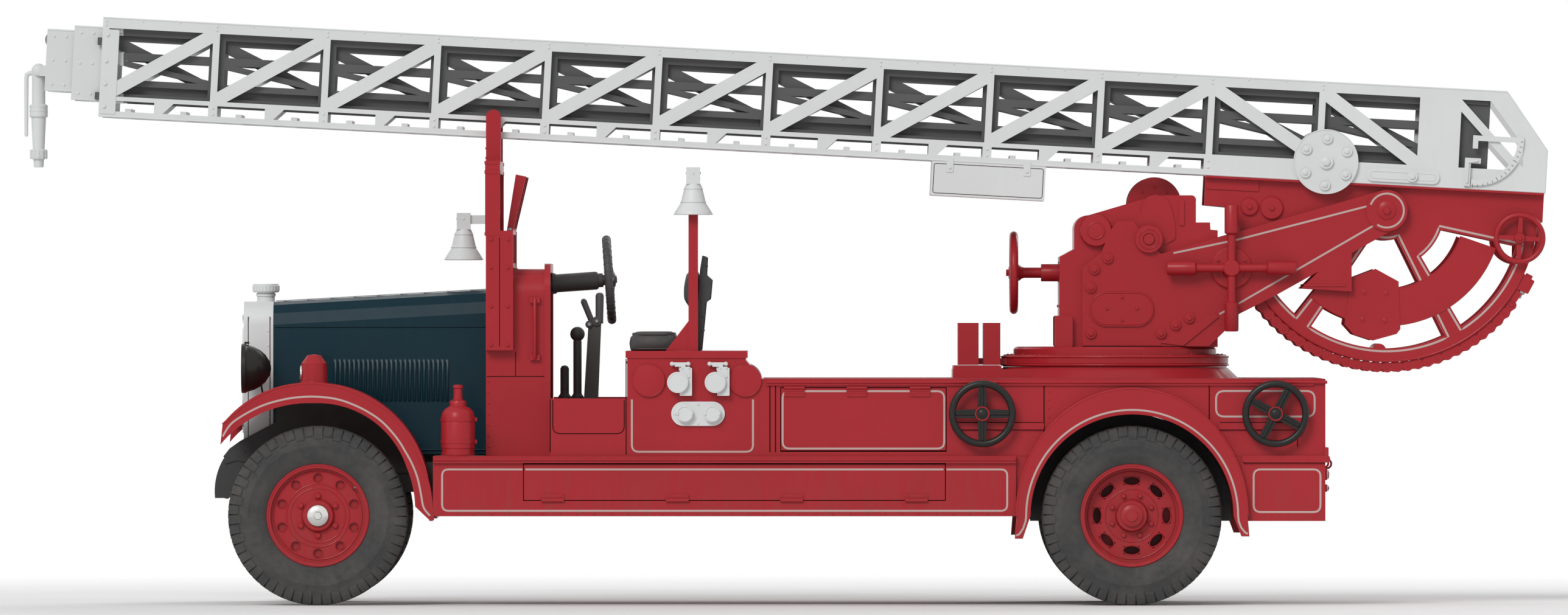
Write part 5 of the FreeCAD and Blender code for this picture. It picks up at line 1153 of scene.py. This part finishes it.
def quadrants():
    trim = Piece("quadrant_trim", "ladder_base")
    inner, gap = RIM - 75, 16      # the windows' outer radius, and from a window's edge to its line
    for side, _ in SIDES:
        face = LADDER @ on_side(side, 372)
        for start, end, near in ((205, 232, 330), (240, 298, 170), (306, 348, 330)):
            grow = math.degrees(gap / near)
            trim.line(face, arc(inner + gap, start - 1.2, end + 1.2, steps=24)
                      + arc(near - gap, end - 4 + grow, start + 4 - grow, steps=10), width=12)
        trim.put(face, *[tube([(x, z, 3) for x, z in arc(radius, 232, 344, steps=60)], 3, 8)
                         for radius in (447, 657)],
                 tube([(x, z, -2) for x, z in arc(RIM - 3, 201, 357, steps=90)], 6, 8),
                 plate(-1036, 70, -735, 142, 8, 0, 8))
        corners = [math.radians(45 + 90 * k) for k in range(4)]
        trim.spots(face, [(90 * math.cos(a) - 40, 110 * math.sin(a) - 550, 5) for a in corners], nut(15, 6))
        # rollers under the frame's front and the bolts of its top flange
        for x, radius in ((-781, 51), (-654, 66)):
            trim.put(face @ at(x, -20), lathe([(radius, 0), (radius, 12), (radius - 6, 18), (22, 20),
                                               (0, 20)], 44))
            trim.put(face @ at(x, -20, 19), nut(16, 12))
        trim.put([LADDER @ at(74 * k - 1000, side * 400, 134.6) @ Matrix.Rotation(math.pi, 4, "X")
                  for k in range(26)], rivet(9))
    trim.done(bevel=0.8)


def link_plate(first, second, low, high):
    """A chain's side plate, waisted between its two round ends."""
    a, b = Vector(first), Vector(second)
    along = (b - a).normalized()
    waist = Vector((-along.y, along.x)) * 21
    middle, heading = (a + b) / 2, math.degrees(math.atan2(along.y, along.x))
    return slab(arc(30, heading + 90, heading + 270, a.x, a.y, 10) + [tuple(middle - waist)]
                + arc(30, heading - 90, heading + 90, b.x, b.y, 10) + [tuple(middle + waist)], low, high)


def chains():
    piece = Piece("quadrant_chains_full", "ladder_base")
    path, start, pitch, count = RIM + 32, 219, 3.75, 29
    pins = [polar(path, start + pitch * (k + 0.5)) for k in range(count)]
    for side, _ in SIDES:
        middle = LADDER @ on_side(side, 348.5)
        spots = [(x, z, 0) for x, z in pins]
        piece.spots(middle, spots, lathe([(0, -16), (10, -16), (12, -14), (12, 14), (10, 16), (0, 16)], 18))
        piece.spots(middle, spots, collar(12, 22, -5, 5, 22), finish="steel")
        # inner and outer plates by turns
        for k, (first, second) in enumerate(zip(pins, pins[1:])):
            low, high = (5.2, 9.6) if k % 2 else (10, 14.4)
            piece.put(middle, link_plate(first, second, low, high), link_plate(first, second, -high, -low))
        # the rim's seat for the chain and the two anchors
        piece.put([middle @ spin(degrees / 360) @ at(RIM + 22) for degrees in (217.4, 329.6)],
                  plate(-21, -34, 22, 34, 10, -14, 14))
        anchor = middle @ spin(335 / 360) @ at(RIM + 0.4)
        piece.put(anchor, slab(rounded([(0, -46), (74, -42), (74, 42), (0, 46)], 8), -19, 19),
                  plate(10, 42, 52, 62, 6, -13, 13))
        bolt = anchor @ facing((0, -1, 0), (38, -40, 0))
        piece.put(bolt, lathe([(11, 0), (11, 46)], 20), finish="steel")
        piece.put(bolt @ at(0, 0, 2), nut(19, 16), finish="steel")
    piece.done("quadrant_chains", bevel=0.6)


def ladder_wheels():
    piece = Piece("ladder_handwheels_full", "ladder_base")
    for side, _ in SIDES:
        place = LADDER @ on_side(side, 425, RIM - 97, -118)
        piece.put(place, round_ring(133, 15, 72, 14),
                  lathe([(26, -52), (26, -12), (32, -8), (32, 14), (26, 22), (0, 25)], 36))
        piece.around(place, 4, slab(rounded([(16, -15), (126, -11), (126, 11), (16, 15)], 4), -6, 6))
        piece.put(place @ at(0, 0, 22), nut(14, 12))
    piece.done("ladder_handwheels", bevel=0.6)


def ladder():
    trim = Piece("ladder_trim", "ladder_base", "silver")
    front, low, high, bay = -7364.0, 147.0, 717.0, 631.5
    for side, _ in SIDES:
        face = LADDER @ on_side(side, LADDER_SIDE)
        trim.spots(face, [(front + 19 + bay * k, z, 0) for k in range(12)
                          for z in (low + 45, low + 82, high - 22, high - 44)], rivet(8))
        trim.spots(face, [(front + 19 + bay * (k + share), high - 14, 0) for k in range(11)
                          for share in (0.33, 0.66)], rivet(6))
        # rolled edges along the two rails
        for edge in ([(front + 4, high - 5), (644, high - 5)], [(front + 4, low + 5), (890, low + 5)],
                     [(650, high - 4), (894.5, low + 244), (894.5, low + 4)]):
            trim.put(face, tube([(x, z, -2) for x, z in edge], 5, 8))
        # head block: its plate and bolts, and the guides behind it
        trim.put(face, plate(front + 6, low + 18, front + 96, high - 70, 10, 0, 4))
        trim.spots(face, [(front + 30, z, 4) for z in (low + 60, low + 190, low + 320, high - 100)],
                   nut(11, 8))
        # painted shade: the guides behind the head plate take the inner sections' dark grey
        trim.put(face, *[plate(front - 26, z - 22, front + 6, z + 22, 6, -26, -6)
                         for z in (low + 118, high - 140)], finish="inner")
        # the bolted disc, the slotted bar and the crate's straps
        disc = LADDER @ on_side(side, 440.3, -361, 260)
        trim.put(disc, round_ring(182, 3.5, 88, 8))
        trim.around(disc, 6, round_ring(29, 2.5, 28, 6), nut(17, 8), spot=(133, 0, 12), shift=0.5)
        trim.put(disc @ at(0, 0, 15), nut(26, 14))
        bar = LADDER @ on_side(side, 434.3)
        slot = arc(20, 90, 270, -86, 202, 10) + arc(20, -90, 90, 249, 202, 10)
        trim.put(bar, tube([(x, z, 0) for x, z in slot], 3.5, 8, closed=True))
        trim.put(bar @ at(134, 202, 16), nut(18, 10))
        for x in (-2500, -2060):
            trim.put(face, plate(x - 20, low - 60, x + 20, low + 24, 6, 0, 5))
            trim.put(face @ at(x, low - 34, 5), nut(9, 6))
    # the inclinometer's marks and pointer
    scale = LADDER @ on_side(-1, 436.3)
    for k in range(15):
        marks = [polar(radius, 5.8 * k - 86) for radius in ((284, 298) if k % 5 else (277, 300))]
        trim.put(scale, tube([(460 + dx, 455 + dz, 0.5) for dx, dz in marks], 1.6, 6), finish="inner")
    trim.put(scale, tube([(447, 182, 10), (447, 300, 10), (505, 310, 10)], 9, 12))
    trim.seam(LADDER @ on_side(-1, LADDER_SIDE), frame_outline(-2590, low - 182, -1966, low - 14, 14), 4,
              closed=True)
    trim.done(bevel=0.5)


def ladder_heads():
    """Rollers, pulleys and head fittings of the two sliding sections."""
    for name, front, bottom, depth, half in (("middle", -7526.0, 235.0, 426.0, 375.0),
                                             ("top", -7681.0, 279.0, 355.0, 338.0)):
        piece = Piece(name + "_trim", "ladder_" + name, "silver")
        for side, _ in SIDES:
            face = LADDER @ on_side(side, half)
            piece.spots(face, [(front + reach, z, 0) for z in (bottom + 40, bottom + depth / 2,
                                                               bottom + depth - 40) for reach in (40, 110)],
                        rivet(9))
            piece.put(face, *[tube([(front + 4, z, -2), (front + 240, z, -2)], 5, 8)
                              for z in (bottom + 6, bottom + depth - 6)])
        cross = LADDER @ facing((0, 1, 0), (front + 26, 0, bottom + depth - 60))
        piece.put(cross, lathe([(16, 24 - half), (16, half - 24)], 20))
        piece.spots(cross, [(0, 0, -150), (0, 0, 150)],
                    lathe([(16, -12), (44, -12), (44, -8), (34, -2), (34, 2), (44, 8), (44, 12), (16, 12)],
                          32, closed=True), finish="steel")
        piece.done(bevel=0.5)


def monitor():
    piece = Piece("monitor_full", "monitor", "silver")
    place = at(*joint_at("monitor_pivot"))
    piece.put(place, lathe([(0, 42), (16, 39), (30, 30), (39, 15), (42, 0), (40, -12), (38, -24), (38, -190),
                            (44, -194), (52, -198), (52, -262), (48, -267), (42, -270), (34, -448),
                            (42, -451), (47, -454), (47, -500), (44, -505), (31, -508), (28, -551),
                            (22, -553), (20, -500), (0, -480)], 48))
    piece.spots(place, [(0, 0, z) for z in (-206, -232, -258)], round_ring(51.5, 2.5, 48, 8))
    piece.spots(place, [(0, 0, z) for z in (-462, -492)], round_ring(46.5, 2.5, 48, 8))
    piece.around(place, 12, block((45, -3, -504), (50, 3, -452)))
    piece.put(place @ facing((0, 1, 0)), lathe([(0, -60), (20, -60), (20, 60), (0, 60)], 24))
    piece.put([place @ facing((0, side, 0), (0, side * 46, 0)) for side, _ in SIDES],
              lathe([(0, 0), (30, 0), (30, 10), (24, 14), (0, 15)], 24))
    # the handle behind it
    piece.put(place, tube([(-8, 0, -14), (-50, 0, -14), (-67, 0, -22), (-70.5, 0, -44), (-70.5, 0, -366)],
                          [14, 14, 14, 13, 11], 14))
    piece.put(place @ at(-70.5, 0, -362), lathe([(0, -16), (9, -11), (12, 0), (9, 11), (0, 16)], 20))
    piece.done("monitor", bevel=0.4)


# ---------------------------------------------------------------- windscreen, rest and springs
def windscreen():
    trim = Piece("windscreen_trim")
    low, high = span("windscreen_frame")
    for side, _ in SIDES:
        trim.put([facing((0, side, 0), (low.x + 17, side * 680, low.z + rise)) for rise in (60, 225)],
                 lathe([(12, 0), (12, 14), (8, 20), (0, 21)], 20), finish="steel")
        trim.put(at(low.x + 17, side * 660, low.z), plate(-30, -22, 30, 22, 8, 0, 6))
    # the wiper
    trim.put(None, tube([(high.x - 64, 430, high.z - 40), (high.x - 84, 400, high.z - 150),
                         (high.x - 100, 360, high.z - 260)], 4, 8), finish="black")
    trim.done(bevel=0.6)
    rest = Piece("ladder_rest_trim")
    start = span("ladder_rest")[0].x
    for side, _ in SIDES:
        rest.put(on_side(side),
                 *[block((start - 3, z - 10, 806), (start + 87, z + 10, 872)) for z in (2110, 2462, 2516)],
                 *[block((start - 4, z - 6, 360), (start - 0.5, z + 6, 432)) for z in (2545, 2600)])
        post = on_side(side, 870, scuttle_low.x)
        rest.spots(post, [(x, z, 0) for z in (1480, 1700, 1920, 2080) for x in (30, 125)], nut(11, 8))
        rest.seam(post, [(78, 1470), (78, 2090)])
    rest.done(bevel=0.8)


def springs():
    piece = Piece("leaf_springs_full", slot="dark_metal")
    top, half_length, pace = 639.7, 450, 7.4      # pace: from one leaf to the next
    for side, _ in SIDES:
        face = on_side(side, 380)
        for hub, sag in ((hub_front, 54.4), (hub_rear, 9.4)):
            for leaf in range(6):
                reach = half_length - 62 * leaf
                upper = [(hub.x + x, top - sag * (1 - (x / half_length) ** 2) - pace * leaf)
                         for x in [reach * (k / 12 - 1) for k in range(25)]]
                piece.put(face, slab(upper + [(x, z - 6.8) for x, z in reversed(upper)], 3 if leaf else 1,
                                     67 if leaf else 69))
            low = top - sag
            for end in (-1, 1):
                eye = face @ at(hub.x + end * 440, top - 23.7)
                piece.put(eye, collar(13, 24, 0, 70, 28))
                piece.put(eye @ at(0, 0, 68), nut(18, 14))
                piece.put(on_side(side, 451, hub.x + end * 260, top - sag * (1 - (260 / half_length) ** 2)),
                          block((-9, -46, -2), (9, 3, 2)))
                # the bolt that clamps the leaves to the axle
                x = hub.x + end * 46
                piece.put(face, tube([(x, low - 88, 4), (x, low + 4, 4), (x, low + 12, 35), (x, low + 4, 66),
                                      (x, low - 88, 66)], 7, 10))
                piece.put([face @ facing((0, -1, 0), (x, low - 86, out)) for out in (4, 66)], nut(12, 12))
    piece.done("leaf_springs", bevel=0.5)


# ---------------------------------------------------------------- seats
PRESSURE = 4.0
SETTLE_FRAMES = 20


def evaluated(obj):
    """A new mesh with the object's modifiers taken in."""
    return bpy.data.meshes.new_from_object(obj.evaluated_get(bpy.context.evaluated_depsgraph_get()))


def swollen(verts, faces, cell, cap):
    """A closed pad in even cells, filled by a cloth simulation that moves no point further than the cap."""
    scene = bpy.context.scene
    mesh = bpy.data.meshes.new("pad_form")
    mesh.from_pydata([Vector(p) / 1000 for p in verts], [], faces)
    outwards(mesh)
    pad = placed("pad_form", mesh)
    cells = pad.modifiers.new("cells", "REMESH")
    cells.mode = "VOXEL"
    cells.voxel_size = cell
    even = evaluated(pad)
    pad.modifiers.clear()
    pad.data = even
    cloth = pad.modifiers.new("cloth", "CLOTH")
    cloth.settings.quality = 3
    cloth.settings.use_pressure = True
    cloth.settings.uniform_pressure_force = PRESSURE
    cloth.settings.effector_weights.gravity = 0
    cloth.point_cache.frame_start = 1
    cloth.point_cache.frame_end = SETTLE_FRAMES
    for step in range(1, SETTLE_FRAMES + 1):
        scene.frame_set(step)
    filled = pad.evaluated_get(bpy.context.evaluated_depsgraph_get()).to_mesh()
    ends = [v.co.copy() for v in filled.vertices]
    scene.frame_set(1)
    pad.modifiers.clear()
    for vertex, end in zip(even.vertices, ends):
        move = end - vertex.co
        vertex.co += move * min(1.0, cap / max(move.length, 1e-6))
    finer = pad.modifiers.new("finer", "SUBSURF")
    finer.levels = finer.render_levels = 1
    smooth = evaluated(pad)
    bpy.data.objects.remove(pad)
    return smooth


def pad_between(section, low, high, draw_in, reach):
    """A closed form: an outline of (x, z) carried from low to high in y, drawn in towards both ends."""
    steps = 40
    count = len(section)
    middle = Vector((sum(p[0] for p in section), sum(p[1] for p in section))) / count
    verts = []
    for k in range(steps + 1):
        y = low + (high - low) * k / steps
        share = 1 - draw_in * max(0.0, 1 - min(y - low, high - y) / reach) ** 2
        verts += [(middle.x + (x - middle.x) * share, y, middle.y + (z - middle.y) * share)
                  for x, z in section]
    return verts, quads(steps + 1, count)


def held(mesh, low, high):
    """Rests the pad on its base and brings it to the space between two corners."""
    base = low[2] / 1000
    for vertex in mesh.vertices:
        vertex.co.z = max(vertex.co.z, base)
    for axis in range(3):
        values = [v.co[axis] for v in mesh.vertices]
        start, end = min(values), max(values)
        share = (high[axis] - low[axis]) / 1000 / (end - start)
        for vertex in mesh.vertices:
            vertex.co[axis] = low[axis] / 1000 + (vertex.co[axis] - start) * share


def sewn(mesh, seams, depth, half_width):
    """Presses seams across the pad at the given y, on all but its base."""
    outward = [v.normal.copy() for v in mesh.vertices]
    for vertex, normal in zip(mesh.vertices, outward):
        near = min(abs(vertex.co.y * 1000 - y) for y in seams)
        if normal.z > -0.5:
            vertex.co -= normal * depth / 1000 * math.exp(-(near / half_width) ** 2)


def upholstery(name, mesh):
    mesh.materials.clear()
    mesh.materials.append(M["leather"])
    mesh.shade_smooth()
    pad = placed(name, mesh)
    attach(pad, "chassis")
    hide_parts("seat_pads")
    return pad


def piping(name, pad, outer, inner, radius):
    """A sewn cord round a pad, laid where lines from the outer ring to the inner one meet its skin."""
    skin = BVHTree.FromPolygons([v.co for v in pad.data.vertices],
                                [list(p.vertices) for p in pad.data.polygons])
    path = []
    for start, end in zip(outer, inner):
        way = (Vector(end) - Vector(start)).normalized()
        spot = skin.ray_cast(Vector(start) / 1000, way)[0]
        if spot is not None:
            path.append(spot * 1000 - way * radius * 0.3)
    for _ in range(3):
        path = [(path[k - 1] + path[k] * 2 + path[(k + 1) % len(path)]) / 4 for k in range(len(path))]
    cord = Piece(name, "chassis", "leather")
    cord.put(None, tube(path, radius, 8, closed=True))
    cord.done(sharp=180.0)


def ring(a0, b0, a1, b1, grow, pace):
    """Points round a rounded frame, with the same number of them whatever it is grown by."""
    corners = rounded([(a0 - grow, b0 - grow), (a1 + grow, b0 - grow), (a1 + grow, b1 + grow),
                       (a0 - grow, b1 + grow)], 40 + max(0, grow))
    out = []
    for k, (a, b) in enumerate(corners):
        after = corners[(k + 1) % len(corners)]
        steps = 1 if (k + 1) % 6 else pace[(k // 6) % 2]
        out += [(a + (after[0] - a) * j / steps, b + (after[1] - b) * j / steps) for j in range(steps)]
    return out


def seats():
    low, high = span("seat_pads")
    base = low.z
    # bench cushion: it starts a little small, since it swells
    front, back, half, crown = low.x, low.x + 273, 920, base + 110
    section = rounded([(front + 12, base), (back - 12, base), (back - 12, base + 92),
                       (front + 12, base + 92)], 9)
    bench = swollen(*pad_between(section, 12 - half, half - 12, 0.06, 60), 0.012, 0.018)
    held(bench, (front, -half, base), (back, half, crown))
    sewn(bench, (-half / 3, half / 3), 6, 8)
    bench_pad = upholstery("bench_cushion", bench)
    for mark, height, radius in (("top", 95, 9), ("low", 12, 5)):
        outer, inner = [[(x, y, base + height) for x, y in ring(front, -half, back, half, grow, (12, 70))]
                        for grow in (60, -60)]
        piping("bench_piping_" + mark, bench_pad, outer, inner, radius)
    # back rests: thin below, padded at the shoulders
    face = back + 38
    tail = high.x
    top = high.z
    section = rounded([(face + 46, base), (face + 46, base + 240), (face + 12, base + 285),
                       (face + 12, base + 350), (face + 34, top - 10), (tail - 26, top - 10),
                       (tail - 12, top - 66), (tail - 34, base)], 18)
    rest = swollen(*pad_between(section, 574, 926, 0.10, 60), 0.009, 0.014)
    held(rest, (face, 560, base), (tail, 940, top))

    def depth_at(z):
        """Where the piping runs between the rest's face and its back."""
        up = (z - base) / (top - base)
        return face + 52 if up < 0.48 else face + 52 - 22 * min(1.0, (up - 0.48) / 0.12)

    for side, name in SIDES:
        mesh = rest.copy()
        if side < 0:
            for vertex in mesh.vertices:
                vertex.co.y -= 1.5
        pad = upholstery("seat_back_" + name, mesh)
        near, far = sorted((side * 560, side * 940))
        outer, inner = [[(depth_at(min(max(z, base), top)), y, z)
                         for y, z in ring(near, base + 14, far, top, grow, (18, 22))] for grow in (50, -70)]
        piping("seat_back_piping_" + name, pad, outer, inner, 5)


def seat_frames():
    """Iron stays at the outer end of each back rest, with a leather roll between them."""
    piece = Piece("seat_frames", slot="dark_metal")
    foot = seat_high.z
    stay = rounded([(-508, foot + 0.5), (-500, 1600), (-490, 1750), (-481, 1906), (-468, 1988), (-441, 1980),
                    (-446, 1878), (-414, 1850), (-424, 1740), (-448, 1725), (-474, foot + 0.5)], 6)
    roll = rounded([(-479, 1740), (-434, 1746), (-424, 1846), (-479, 1864)], 10)
    # further in they would meet the ladder's tail, which passes behind the seats at full elevation
    for side, _ in SIDES:
        for y in (854, 920):
            piece.put(on_side(side, y), slab(stay, 0, 20))
            piece.spots(on_side(side, y + 20), [(-467, 1560, 0), (-463, 1640, 0), (-448.5, 1930, 0)],
                        rivet(7))
        piece.put(on_side(side, 874), slab(roll, 0, 46), finish="leather")
    piece.done(bevel=0.8)


# ---------------------------------------------------------------- all the pieces
for make in (bonnet, radiator, headlamps, extinguishers, bell_trim, front_wings, front_aprons, running_boards,
             scuttle, cab, hand_levers, seat_frames, steering_wheel, seat_box, seats, pump_fittings,
             rear_body, rear_wings, jack_wheels, turret, winch_rope, hand_controls, quadrants, chains,
             ladder_wheels, ladder, ladder_heads, monitor, windscreen, springs):
    make()
